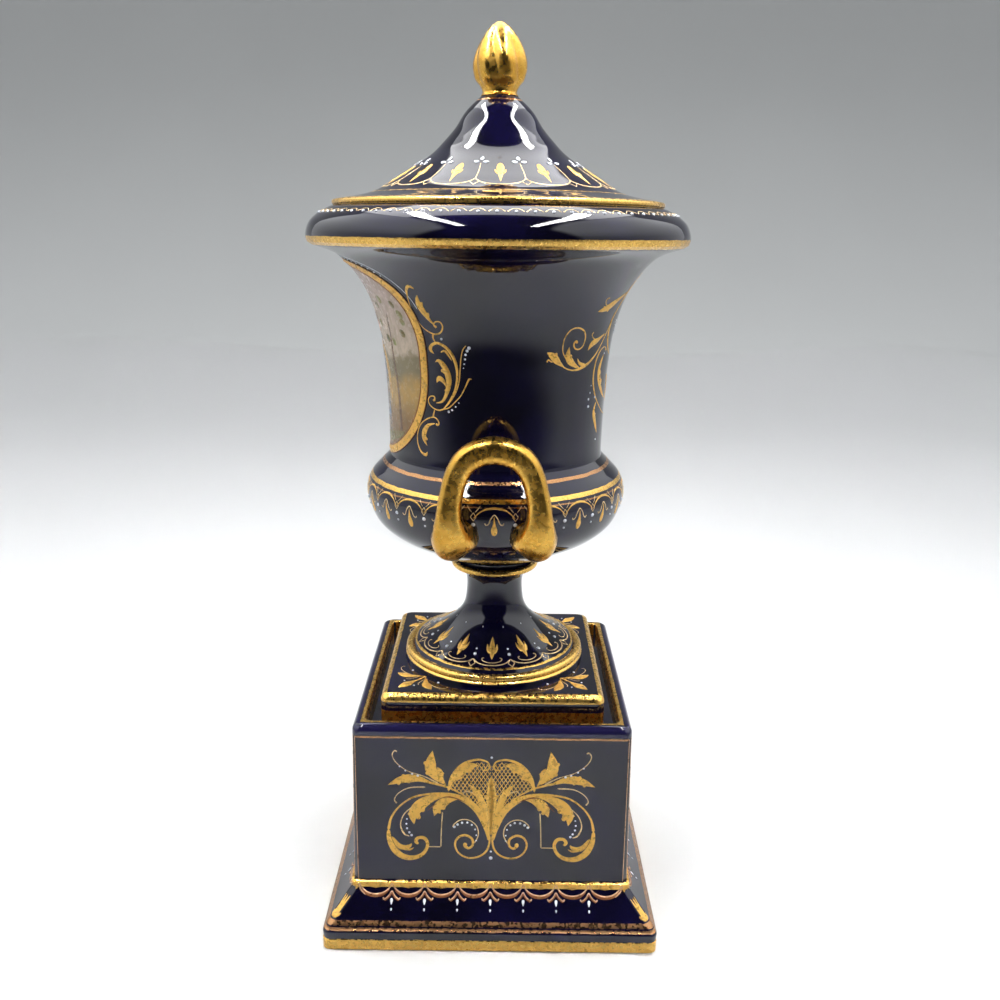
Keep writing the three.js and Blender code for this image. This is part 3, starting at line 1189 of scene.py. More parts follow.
def lip_cell(half: float) -> Motif:
    """One cell of the lip's border: a tiny arch over a pearl.

    Args:
        half: Half the cell's width.

    Returns:
        The motif.
    """
    return Motif((
        Stroke(((-0.92 * half, 10.7), (-0.75 * half, 11.2), (-0.4 * half, 12.1), (0, 12.35),
                (0.4 * half, 12.1), (0.75 * half, 11.2), (0.86 * half, 10.8)), (0.28, 0.16, 0.12, 0.12,
                                                                                0.12, 0.12, 0.1),
               Pigment.PALE_GOLD),
    ), (Dot(0, 10.8, 0.52),))


def bulge_cell(half: float) -> Motif:
    """One cell of the bulge's border: an arch, a small gable and a hanging drop.

    Args:
        half: Half the arch's span.

    Returns:
        The motif.
    """
    gable = ((-2.95, 42.0), (-2.5, 41.3), (-1.7, 41.9), (-1.1, 43.4), (0, 44.7),
             (1.1, 43.4), (1.7, 41.9), (2.5, 41.3), (2.95, 42.0))
    return Motif((
        Stroke(((-half, 43.4), (-0.68 * half, 45.5), (-0.34 * half, 46.5), (0, 46.8), (0.34 * half, 46.5),
                (0.68 * half, 45.5), (half, 43.4)), (0.1, 0.24, 0.38, 0.24, 0.1)),
        Stroke(gable, (0.16, 0.14, 0.14, 0.16, 0.14, 0.14, 0.16), Pigment.PALE_GOLD),
        Stroke(((0, 44.1), (0, 41.6), (0, 39.4), (0, 37.4)), (0.06, 0.42, 1.0, 0.6)),
        Stroke(((0, 41.2), (0, 39.6), (0, 38.3)), (0.05, 0.32, 0.05), Pigment.SHADE, 0.05),
    ))


def cusp_cell() -> Motif:
    """What hangs where two arches of the bulge's border meet.

    Returns:
        The motif.
    """
    return Motif((
        diamond((0, 43.9), 0.85, 1.3, 0.11),
        Stroke(((-2.1, 47.5), (-1.4, 46.4), (-0.5, 45.4)), (0.1, 0.12, 0.08), Pigment.PALE_GOLD),
        Stroke(((2.1, 47.5), (1.4, 46.4), (0.5, 45.4)), (0.1, 0.12, 0.08), Pigment.PALE_GOLD),
    ), (Dot(0, 41.4, 0.66), Dot(0, 38.9, 0.42)))


def foot_cell(half: float) -> Motif:
    """One cell of the foot's border: a scallop, a curled saucer and a three-lobed leaf.

    Args:
        half: Half the cell's width.

    Returns:
        The motif, with the cusp on the right.
    """
    saucer = ((-2.8, 5.1), (-3.5, 4.7), (-3.2, 3.8), (-1.7, 3.1), (0, 2.9), (1.7, 3.1), (3.2, 3.8),
              (3.5, 4.7), (2.8, 5.1))
    return Motif((
        hung_scallop(half, 4.3, 1.7, 0.22, Pigment.PALE_GOLD),
        diamond((half, 2.5), 1.05, 1.7, 0.14),
        Stroke(saucer, (0.16, 0.15, 0.15, 0.18, 0.15, 0.15, 0.16), Pigment.PALE_GOLD),
        Stroke(((0, 4.4), (0, 7.2), (0, 10.2), (0, 14)), (0.05, 0.95, 1.15, 0.04)),
        Stroke(((0.5, 7.0), (1.7, 8.8), (2.2, 11.0)), (0.75, 0.62, 0.04)),
        Stroke(((-0.5, 7.0), (-1.7, 8.8), (-2.2, 11.0)), (0.75, 0.62, 0.04)),
        Stroke(((0, 6.4), (0, 9), (0, 12)), (0.05, 0.5, 0.05), Pigment.SHADE, 0.04),
        Stroke(((0, 5.4), (0, 8.4), (0, 11)), (0.08, 0.12, 0.05), Pigment.GOLD, 0.09),
        Stroke(((0.9, 7.6), (1.6, 9.0), (1.9, 10.1)), (0.05, 0.18, 0.05), Pigment.SHADE, 0.05),
        Stroke(((-0.9, 7.6), (-1.6, 9.0), (-1.9, 10.1)), (0.05, 0.18, 0.05), Pigment.SHADE, 0.05),
    ), (Dot(half, 6.4, 0.66), Dot(half, 8.7, 0.42), Dot(half, 17.6, 0.34)))


def corner_spray() -> Motif:
    """The spray on a corner of the slab: three leaves with tendrils and pearls, springing from the ring.

    Returns:
        The motif.
    """
    half = (
        *leaf(((-25.2, 12.2), (-28.6, 12.0), (-31.2, 12.9), (-33.6, 14.4)), 1.5, ((0.5, -1.3), (0.5, 1.3))),
        Stroke(((-23.4, 11.8), (-26, 11.7), (-28.8, 12.0)), (0.2, 0.22, 0.3)),
        Stroke(((-28.4, 12.6), (-30.8, 14.6), (-32.6, 17.4), (-32.4, 19.4), (-31.4, 19.6)),
               (0.2, 0.14, 0.12, 0.1, 0.14), Pigment.PALE_GOLD),
        Stroke(((-26, 11.4), (-28.8, 9.6), (-30.2, 9.8)), (0.15, 0.14, 0.12), Pigment.PALE_GOLD),
    )
    mirrored = tuple(
        Stroke(tuple((-SPRAY_EDGE + v, SPRAY_EDGE + u) for u, v in stroke.points), stroke.widths,
               stroke.pigment, stroke.lift)
        for stroke in half)
    middle = (
        Stroke(((-23.4, 11.8), (-25.6, 9.4), (-27.6, 7.4)), (0.24, 0.3, 0.4)),
        *leaf(((-26.4, 8.8), (-28.4, 6.8), (-30.2, 5.0), (-32.2, 3.0)), 1.6, ((0.45, -1.4), (0.45, 1.4))),
    )
    return Motif((*half, *mirrored, *middle),
                 (Dot(-23.4, 14.2, 0.5), Dot(-21.0, 11.8, 0.5), Dot(-18.8, 6.8, 0.42), Dot(-28.4, 16.4, 0.42),
                  Dot(-30.6, 8.2, 0.34), Dot(-27.0, 4.6, 0.34)))


def cartouche_half() -> Motif:
    """The left half of the block's cartouche: two volutes, acanthus leaves, tendrils and rows of pearls.

    Returns:
        The motif.
    """
    volute = (
        Stroke(((-0.7, 36.6), (-1.6, 41.6), (-4.2, 47.6), (-8.2, 51.6), (-13.4, 53.9), (-20, 54.2),
                (-26, 52.9), (-30.6, 49.6), (-33.6, 45.2), (-34.7, 40.4)), (0.35, 0.95, 1.2, 1.1, 0.7, 0.4,
                                                                            0.34, 0.3, 0.35, 0.5)),
        Stroke(((-34.7, 40.6), (-34.4, 36.4), (-32.6, 32.4), (-29.4, 29.9), (-25.6, 29.8), (-22.7, 31.7),
                (-21.5, 34.8), (-22.5, 37.2), (-24.6, 37.4), (-25.5, 36.0), (-24.6, 35.0)),
               (0.5, 0.85, 1.1, 1.05, 0.8, 0.6, 0.55, 0.65, 0.6, 0.6, 0.5)),
        Stroke(((-33.6, 37.8), (-31.4, 34.4), (-29.4, 33.6), (-27.6, 34.2), (-26.9, 35.2)), (0.3, 0.9, 0.9,
                                                                                             0.6, 0.1)),
        Stroke(((-30, 33.2), (-27.6, 32.8), (-26.2, 33.6)), (0.5, 0.4, 0.05)),
        Stroke(((-0.3, 38.6), (-1.0, 33.6), (-3.6, 30.6), (-7.6, 29.8), (-10.9, 31.6), (-12.2, 35),
                (-11, 37.8), (-8.6, 38.6), (-6.4, 37.2), (-6.2, 34.8), (-7.6, 33.6), (-8.8, 34.6),
                (-8.4, 35.6)),
               (0.3, 0.34, 0.34, 0.32, 0.32, 0.34, 0.4, 0.45, 0.42, 0.4, 0.45, 0.6, 0.8)),
        Stroke(((-5.6, 35.6), (-4.3, 38.6), (-4.8, 42), (-7.2, 44.3), (-10.2, 44.5), (-12.4, 42.9),
                (-12.9, 41.6)),
               (0.2, 0.18, 0.18, 0.18, 0.18, 0.18, 0.24), Pigment.PALE_GOLD),
    )
    acanthus = (
        *leaf(((-13.4, 53.7), (-19, 52.9), (-23.6, 50.2), (-26.2, 46.4), (-26, 42.6)), 2.0,
              ((0.5, 2.2), (0.72, 2.3), (0.74, -1.5))),
        *leaf(((-10.8, 52.6), (-14.6, 51.8), (-17.8, 49.4), (-19.2, 45.8)), 1.7, ((0.5, 1.9), (0.75, 1.5),
                                                                                  (0.7, -1.2))),
        Stroke(((-5.0, 48.2), (-9.2, 51.6), (-14.4, 53.2), (-19.5, 52.4)), (0.05, 0.3, 0.3, 0.05),
               Pigment.SHADE, 0.06),
        Stroke(((-15.2, 51.2), (-18.6, 50.4), (-21.4, 47.8)), (0.05, 0.16, 0.05), Pigment.SHADE, 0.06),
        *leaf(((-14.2, 55.6), (-13.3, 59.2), (-10.6, 62.6), (-6.8, 64.8), (-4.4, 65.0)), 1.5, ((0.35, -1.9),
                                                                                               (0.62, -1.7))),
        Stroke(((-14.4, 55.2), (-13.2, 60.8), (-9.8, 65.2), (-5.4, 67.1), (-1.9, 66.6), (-0.7, 64.9),
                (-1.5, 63.3), (-3.1, 63.4), (-3.2, 64.6)), (0.45, 0.5, 0.5, 0.4, 0.3, 0.25, 0.22, 0.22, 0.4)),
        *leaf(((-16.0, 58.0), (-18.6, 60.4), (-20.2, 63.4), (-20.2, 66.6), (-19.6, 70.2)), 1.9,
              ((0.38, 1.8), (0.62, 1.9), (0.6, -1.5))),
        *leaf(((-15.2, 57.4), (-16.9, 60), (-17.4, 62.4), (-18, 64.2)), 1.2, ((0.5, -1.2),)),
        Stroke(((-1.2, 37.8), (-3.4, 46.4), (-7.6, 52.4), (-13.2, 56.1), (-18.4, 57.9), (-24, 59.2)),
               (0.2, 0.24, 0.26, 0.3, 0.4, 0.3)),
        *leaf(((-19, 57.7), (-24.4, 59.8), (-29.4, 59.6), (-34.6, 57.4)), 1.5, ((0.5, 1.5), (0.75, 1.3),
                                                                                (0.62, -1.5))),
        Stroke(((-17.6, 58.0), (-22.2, 60.6), (-27.8, 62.6), (-31.6, 65.6), (-33, 68.4), (-32.2, 70.1),
                (-31.4, 69.7)),
               (0.3, 0.18, 0.14, 0.14, 0.16, 0.18, 0.25), Pigment.PALE_GOLD),
        Stroke(((-22, 56.7), (-27.4, 56.4), (-31, 54.4), (-32.5, 52), (-31.7, 50.5)),
               (0.3, 0.2, 0.16, 0.16, 0.3), Pigment.PALE_GOLD),
        Stroke(((-25.6, 50), (-29.2, 46.6), (-30.6, 42.4), (-29.4, 38.9), (-27.6, 38.0)),
               (0.16, 0.18, 0.2, 0.3, 0.15), Pigment.PALE_GOLD),
    )
    palmette = (
        *leaf(((-0.6, 40), (-2.2, 48), (-4.4, 54), (-7.2, 57.8)), 1.15, ((0.72, 1.3), (0.72, -1.1))),
        *leaf(((0, 38.6), (0, 47), (0, 55), (0, 61.4)), 1.6, ((0.55, 2.0), (0.78, 1.4))),
        Stroke(((-5.8, 54.6), (-8.6, 55.4), (-9.4, 53.9), (-8.3, 53.3)), (0.2, 0.18, 0.15, 0.2),
               Pigment.PALE_GOLD),
    )
    frame_line = (
        Stroke(((-16.4, 47.4), (-16.8, 40.6), (-17, 34)), (0.2, 0.16, 0.2), Pigment.PALE_GOLD),
        Stroke(((-17, 34), (-19.2, 34), (-21.4, 34)), (0.2, 0.18, 0.2), Pigment.PALE_GOLD),
    )
    field = ((0, 65.4), (-3.4, 66.4), (-8.6, 65.6), (-13.2, 60), (-13.9, 56), (-8.2, 52.8), (-4.2, 47.8),
             (-1.8, 41.4), (0, 38))
    dots = (
        *pearls(((-5.0, 36.6), (-5.2, 40.4), (-7.2, 43.2), (-10.2, 43.3), (-12.4, 41.8)), (0.28, 0.48, 8)),
        *pearls(((-30.6, 64.3), (-27.6, 62.1), (-24.6, 61.0)), (0.3, 0.46, 4)),
        *pearls(((-26.6, 48.2), (-28.4, 44.6), (-28.4, 41), (-26.9, 38.4)), (0.24, 0.46, 7)),
    )
    return Motif((*net(field, 1.15, 0.13), *volute, *acanthus, *palmette, *frame_line), dots)


def neck_scroll() -> Motif:
    """The chain of scrolls beside the medallion: three volutes with acanthus leaves and two tendrils.

    Returns:
        The motif.
    """
    upper = (
        Stroke(((36.9, 56.3), (35.6, 57.2), (34.2, 55.8), (33.6, 53), (33.6, 49.9), (34.4, 47), (35.9, 44.4),
                (37.8, 42.7), (40.4, 41.7), (42.4, 42.4), (43.3, 44.2), (42.7, 45.7), (41.2, 45.7),
                (40.5, 44.7), (41.4, 43.9)),
               (0.2, 0.5, 0.42, 0.2, 0.15, 0.15, 0.15, 0.2, 0.25, 0.25, 0.22, 0.2, 0.2, 0.25, 0.5)),
        *leaf(((41, 44.3), (39.1, 46.6), (37.5, 49.4), (36.7, 52), (37.2, 54.2)), 1.0, ((0.3, -1.1),
                                                                                        (0.62, -1.3))),
        Stroke(((39.8, 41.7), (39.6, 40.5), (40.2, 39.2)), (0.36, 0.26, 0.16)),
    )
    middle = (
        Stroke(((39.4, 35.5), (38.2, 36.8), (39, 38.3), (41.2, 38.9), (43.8, 37.6), (45.7, 35.1),
                (46.7, 32.2), (46.9, 28.9), (46.2, 25.2), (44.9, 22.3), (42.9, 19.4), (41.1, 17.8),
                (38.6, 17.9), (36.6, 19.2), (36.1, 20.7), (37, 21.8), (38.5, 21.9), (38.6, 20.8),
                (37.9, 20.8)),
               (0.12, 0.6, 0.45, 0.4, 0.5, 0.52, 0.42, 0.34, 0.28, 0.25, 0.22, 0.22, 0.2, 0.18, 0.2, 0.22,
                0.3, 0.45)),
        Stroke(((41.7, 36.1), (43.4, 36.5), (45.4, 33.6)), (0.1, 0.4, 0.1)),
        *leaf(((39.1, 19.9), (41.7, 20.8), (43.5, 24.4), (44, 28), (42.9, 31.4), (40.9, 33.4),
               (39.6, 32.9)), 1.0,
              ((0.62, 1.5), (0.3, 0.8))),
        *leaf(((43.6, 24.6), (42.2, 27), (40.6, 27.9), (39.7, 26.4)), 0.8, ((0.6, 0.9),), False),
        Stroke(((42.8, 19), (45.6, 22.6), (47.3, 26.7), (47.9, 31), (48.3, 34.7), (49, 37.3), (50, 38.6)),
               (0.15, 0.2, 0.2, 0.18, 0.16, 0.15, 0.12)),
        Stroke(((40.4, 17.8), (43.6, 18.7), (46, 20.8), (48, 23), (49.5, 25.8), (50.6, 28.1), (51.5, 28.2)),
               (0.2, 0.2, 0.18, 0.17, 0.2, 0.26, 0.1)),
        Stroke(((38.5, 17.7), (38.1, 16.5), (37.7, 15.2)), (0.16, 0.26, 0.3)),
    )
    lower = (
        Stroke(((38.8, 13.2), (39.6, 12.8), (40, 13.6), (39.2, 14.8), (37.5, 15.2), (34.6, 14), (32.2, 12),
                (30.8, 9), (30.8, 5.8), (32.3, 3.2), (34.4, 2.5), (35, 3.6)),
               (0.5, 0.26, 0.2, 0.2, 0.2, 0.2, 0.2, 0.22, 0.25, 0.32, 0.5, 0.16)),
        *leaf(((38.5, 13.2), (35.8, 12.4), (34.1, 10.3), (33.7, 7.9), (35, 5.6)), 0.95, ((0.72, 1.3),)),
    )
    dots = (
        Dot(42.4, 40.3, 0.42),
        *pearls(((50.9, 37.9), (49.9, 36.2), (49.5, 33.9), (49, 31.6)), (0.56, 0.18, 6)),
        *pearls(((43.7, 17.5), (45.5, 18.6), (47.2, 20.5)), (0.44, 0.24, 4)),
    )
    return Motif((*upper, *middle, *lower), dots)


def back_scroll() -> Motif:
    """The right half of the scrollwork opposite the medallion: a long stem that ends in a hooked leaf.

    Returns:
        The motif.
    """
    stem = (
        Stroke(((7.4, 59), (11.4, 53), (14.9, 47.2), (17.7, 40.9), (21.4, 35.8), (25.6, 32.4), (29.6, 30.8),
                (33, 30.3), (36.4, 31.2), (38.6, 32.9)), (0.2, 0.28, 0.2, 0.2, 0.25, 0.42, 0.5, 0.25, 0.2,
                                                          0.3)),
        *leaf(((37, 31.6), (39.2, 33.2), (41.3, 35.2), (43.4, 36.5)), 1.15, ((0.55, 1.3), (0.5, -0.9))),
        Stroke(((40.6, 34), (41.6, 33.5), (42.8, 34.2), (43.2, 33.4)), (0.2, 0.2, 0.2, 0.25)),
        Stroke(((31.6, 30.9), (34.8, 32.4), (37, 34.8), (38.1, 37.2), (37.9, 40.8), (36.2, 43.3),
                (33.6, 43.9), (30.8, 42.7), (29.6, 40.4), (30.1, 37.9), (31.7, 36.9), (33.4, 37.3),
                (34.1, 38.7), (33.3, 39.5), (32.7, 38.8)),
               (0.15, 0.15, 0.15, 0.17, 0.2, 0.22, 0.24, 0.26, 0.24, 0.22, 0.22, 0.25, 0.3, 0.4, 0.45)),
        *leaf(((30.6, 31), (33.4, 32.3), (35.7, 34.6), (35.7, 37.9)), 1.15, ((0.55, 1.3), (0.72, -0.9))),
        Stroke(((28, 31.6), (30.6, 32.3), (31.8, 34)), (0.5, 0.5, 0.06)),
        Stroke(((18.2, 40.8), (21.6, 39.9), (24.7, 39.6), (26.6, 41.1), (26, 42)), (0.25, 0.18, 0.15, 0.15,
                                                                                    0.22)),
        *leaf(((18.9, 41), (22.6, 39.2), (25.6, 38.2), (27.4, 36.2)), 1.0, ((0.6, -0.9),)),
        *leaf(((11.8, 54.6), (17.6, 52), (22.6, 49.8), (27, 48.8)), 1.15, ((0.6, -1.3), (0.75, 1.0))),
        Stroke(((17.4, 52.2), (21.4, 50.4), (24, 51), (24.8, 52.7), (23.4, 53.3)), (0.2, 0.16, 0.14, 0.14,
                                                                                    0.2)),
    )
    fall = (
        Stroke(((14.4, 35), (16.4, 36.4), (19.6, 35.4), (21.8, 32), (22.2, 26.9), (20.3, 21.8),
                (16.7, 17.8), (10.6, 14), (4, 12.4), (0, 12.2)), (0.3, 0.18, 0.22, 0.34, 0.4, 0.34, 0.22,
                                                                  0.18, 0.18, 0.2)),
        Stroke(((15.1, 48), (16.1, 44.2), (15.2, 39.6), (12.2, 35.2), (8.4, 33)), (0.15, 0.45, 0.5, 0.35,
                                                                                   0.12)),
        *leaf(((9, 18.4), (13.6, 21.2), (17.4, 25.6), (18.4, 29.8), (16.4, 34)), 1.2, ((0.4, 1.5),
                                                                                       (0.62, 1.3))),
        *leaf(((18.3, 18.4), (19.6, 15.6), (18.4, 12.4), (16, 7.6)), 1.0, ((0.45, -1.0), (0.6, 0.8))),
    )
    middle = (
        *leaf(((0, 14), (0, 20.4), (0, 27), (0, 34.6)), 1.5, ((0.5, -2.1), (0.72, -1.5))),
        *leaf(((0.8, 15), (3.4, 19.4), (5.6, 23.6), (8.6, 26.6)), 1.1, ((0.6, 1.2), (0.6, -1.2))),
        *leaf(((0, 47.6), (0, 51.6), (0, 55.6), (0, 60.4)), 1.3, ((0.5, -1.9),)),
        Stroke(((7.4, 59), (4.4, 61.6), (1.4, 60.6), (1.2, 58.6), (2.6, 58.2)), (0.2, 0.18, 0.2, 0.22, 0.35)),
    )
    dots = (
        *pearls(((23.1, 24.4), (23.4, 22), (24, 20), (23.8, 17.6)), (0.26, 0.5, 4)),
        Dot(19.8, 20.2, 0.42), Dot(16.1, 34.2, 0.36), Dot(16.8, 5.6, 0.32), Dot(0, 37.2, 0.6),
        Dot(0, 39.6, 0.4), Dot(0, 45.2, 0.44),
        *pearls(((2.4, 41.4), (5.6, 40.2), (8.6, 41.6), (10.4, 44.6)), (0.24, 0.42, 6)),
    )
    return Motif((*stem, *fall, *middle), dots)


def base_moon() -> Motif:
    """A gilt half-moon in a thin arc, hanging below the fillet.

    Returns:
        The motif.
    """
    arc_points = ((-5.5, -0.25), (-4.7, -2.5), (-2.7, -4.05), (0, -4.6), (2.7, -4.05), (4.7, -2.5),
                  (5.5, -0.25))
    halo = tuple((u * 1.02, v - 0.45) for u, v in arc_points[1:-1])
    return Motif((
        Stroke(((0, 0), (0, -1.2), (0, -2.1), (0, -2.5)), (3.05, 2.75, 1.7, 0.2), blunt=True),
        Stroke(halo, (0.2, 0.5, 0.55, 0.5, 0.2), Pigment.SHADE, -0.03),
        Stroke(arc_points, (0.16, 0.26, 0.28, 0.26, 0.16), Pigment.ROSE_GOLD),
    ))


def base_cusp() -> Motif:
    """A chevron with curled ends over two white drops, hanging where two arcs meet.

    Returns:
        The motif.
    """
    chevron = ((-2.9, -5.5), (-2.5, -6.15), (-1.5, -5.5), (-0.65, -4.6), (0, -3.6),
               (0.65, -4.6), (1.5, -5.5), (2.5, -6.15), (2.9, -5.5))
    shadow = tuple((u, v - 0.4) for u, v in chevron[1:-1])
    return Motif((
        Stroke(shadow, (0.3, 0.3, 0.36, 0.3, 0.3), Pigment.SHADE, -0.03),
        Stroke(chevron, (0.22, 0.22, 0.2, 0.26, 0.2, 0.22, 0.22), Pigment.ROSE_GOLD),
        Stroke(((0, -5.8), (0, -6.6), (0, -7.9)), (0.3, 0.46, 0.12), Pigment.WHITE, 0.14),
        Stroke(((0, -8.9), (0, -9.3), (0, -9.9)), (0.22, 0.3, 0.08), Pigment.WHITE, 0.08),
    ))


@dataclass(frozen=True)
class Plinth:
    """The square block on its flared base, with a well in its top."""

    base_half: float = 56.8
    base_edge: float = 7.4
    base_round: float = 1.4
    flare_foot: Point = (55.2, 9.6)
    fillet_half: float = 47.9
    fillet_bottom: float = 18.4
    fillet_top: float = 20.8
    block_half_bottom: float = 47.0
    block_half_top: float = 46.4
    top: float = 79.0
    edge_round: float = 2.4
    well_half: float = 42.4
    well_depth: float = 5.0
    wall: float = 4.5
    corner: float = 2.4
    border_from: int = 12
    border_to: int = 25
    border_pitch: float = 11.25
    border_moons: int = 8

    def levels(self) -> list[Point]:
        """The outside, as (half side, height) from the bottom up to the well's floor.

        Returns:
            Its points.
        """
        flare = smooth([
            self.flare_foot,
            (52.9, 12.1),
            (50.3, 15.1),
            (self.fillet_half - 0.3, self.fillet_bottom),
        ], 12)
        edge = arc((self.base_half - self.base_round, self.base_edge - self.base_round + 0.6),
                   self.base_round, 0, 60, 4)
        shoulder = arc((self.block_half_top - self.edge_round, self.top - self.edge_round),
                       self.edge_round, 0, 90, 6)
        rim = arc((self.well_half + 0.5, self.top - 0.5), 0.5, 90, 180, 3)
        return [
            (self.base_half - 0.5, 0),
            (self.base_half, 0.5),
            (self.base_half, 4.2),
            (self.base_half - 0.15, 4.4),
            *edge,
            (55.8, 8.9),
            *flare,
            (self.fillet_half, self.fillet_bottom + 0.25),
            (self.fillet_half, self.fillet_top - 0.3),
            (self.fillet_half - 0.3, self.fillet_top),
            (self.block_half_bottom, self.fillet_top + 0.15),
            *shoulder,
            *rim,
            (self.well_half, self.top - self.well_depth),
        ]

    def hollow(self) -> list[Point]:
        """The hollow, as (half side, height) from its mouth up.

        Returns:
            Its points.
        """
        return [
            (self.base_half - self.wall, 0),
            (self.base_half - self.wall, self.wall),
            (self.block_half_bottom - self.wall, self.fillet_bottom - 1),
            (self.block_half_top - self.wall, self.top - self.well_depth - self.wall),
        ]

    def glaze(self) -> CobaltGlaze:
        """The glaze with the plinth's gilt bands and lines.

        Returns:
            The finish.
        """
        square = Measure.SQUARE
        return CobaltGlaze("cobalt_glaze_plinth", (
            Band(Paint.GOLD, 0.3, 4.4, 54, 60, square),
            Band(Paint.COPPER, 7.5, 8.5, 54, 60, square),
            Band(Paint.COPPER, 9.0, 10.3, 53, 60, square),
            Band(Paint.GOLD, self.fillet_bottom, self.fillet_top + 0.1, 46.8, 49, square),
            Band(Paint.COPPER, 74.6, 75.2, 46, 48, square),
            # A painted sheen along the block's rounded top edge, where the glaze also runs thin.
            Band(Paint.THIN, 75.6, self.top + 1, 44.4, 48, square),
            Band(Paint.GOLD, self.top - self.well_depth + 0.2, self.top + 1, 42, 43.7, square),
            Band(Paint.PORCELAIN, -1, 8.5, 0, 53, square),
            Band(Paint.PORCELAIN, 8.4, 14, 0, 49.9, square),
            Band(Paint.PORCELAIN, 13.9, 18.4, 0, 46.5, square),
            Band(Paint.PORCELAIN, 18.3, 69.8, 0, 43, square),
        ))

    def build(self) -> None:
        """Models the plinth and hands it over."""
        piece = square_piece("plinth_shell", self.levels(), self.hollow(), self.corner)
        soften(piece, weigh=True)
        hand_over(piece, "dark_glaze", self.glaze().build(), "plinth")
        self.decorate()

    def mitre_gilding_and_highlight(self, length: float) -> Motif:
        """The gilding along a base corner: an ear at the fillet, two thin lines that are a painted highlight
        of the mitre, and a gilt point below.

        Args:
            length: How far the cavetto runs from the fillet to the base's edge.

        Returns:
            The motif, on the left corner.
        """
        top, foot = 0.5 - self.fillet_half, 0.5 - self.flare_foot[0]

        def slant(share: float, inset: float) -> Point:
            """A place beside the mitre."""
            return top + (foot - top) * share + inset, -length * share

        return Motif((
            Stroke((slant(0, 0.2), slant(0.12, 0.2), slant(0.24, 0.1)), (1.2, 0.8, 0.1)),
            # The next two thin gold lines beside the mitre are a painted highlight of its rounded corner.
            Stroke((slant(0.42, 0.5), slant(0.7, 0.6), slant(0.94, 0.5)), (0.12, 0.34, 0.4)),
            Stroke((slant(0.42, 1.5), slant(0.7, 1.6), slant(0.98, 1.2)), (0.1, 0.24, 0.3)),
            Stroke((slant(0.86, 0.1), slant(0.99, 0.0)), (0.7, 0.9)),
            Stroke(((2.6 - self.fillet_half, -0.3), (3.2 - self.fillet_half, -2.8), (5.2 - self.fillet_half,
                                                                                     -4.8)),
                   (0.16, 0.24, 0.14), Pigment.ROSE_GOLD),
        ))

    def decorate(self) -> None:
        """Paints the cartouches, the lines down the corners, the border of the base and the painted highlight
        beside each mitre.
        """
        ornament = Decoration("plinth_ornament")
        block = ((self.block_half_bottom, 0.0), (self.block_half_bottom, self.fillet_top + 0.2),
                 (self.block_half_top, self.top - self.edge_round))
        # The border's ground runs from inside the cavetto up the fillet's face.
        flare = self.levels()[self.border_from:self.border_to]
        length = sum(math.dist(here, there) for here, there in pairwise(flare))
        edge = 1.6 - self.block_half_bottom
        corner_line = Motif((Stroke(((edge, self.fillet_top + 0.4), (edge, 48), (edge, 75.2)),
                                    (0.16, 0.14, 0.12), Pigment.ROSE_GOLD),))
        pitch, moons = self.border_pitch, self.border_moons
        for quarter in range(4):
            side = SideGround(block, quarter, self.corner)
            for motif in (cartouche_half(), corner_line):
                ornament.lay(motif, side, BOTH_SIDES)
            ornament.lay(Motif((), (Dot(0, 68, 0.42), Dot(0, 32.4, 0.36), Dot(0, 29.9, 0.66))), side)
            base = SideGround(flare, quarter, self.corner)
            for motif, cells in ((base_moon(), moons), (base_cusp(), moons - 1)):
                middle = (cells - 1) / 2
                ornament.lay(motif, base, [Spot(pitch * (cell - middle), length) for cell in range(cells)])
            ornament.lay(self.mitre_gilding_and_highlight(length), base, [Spot(0, length), Spot(0, length, mirrored=True)])
        ornament.build()


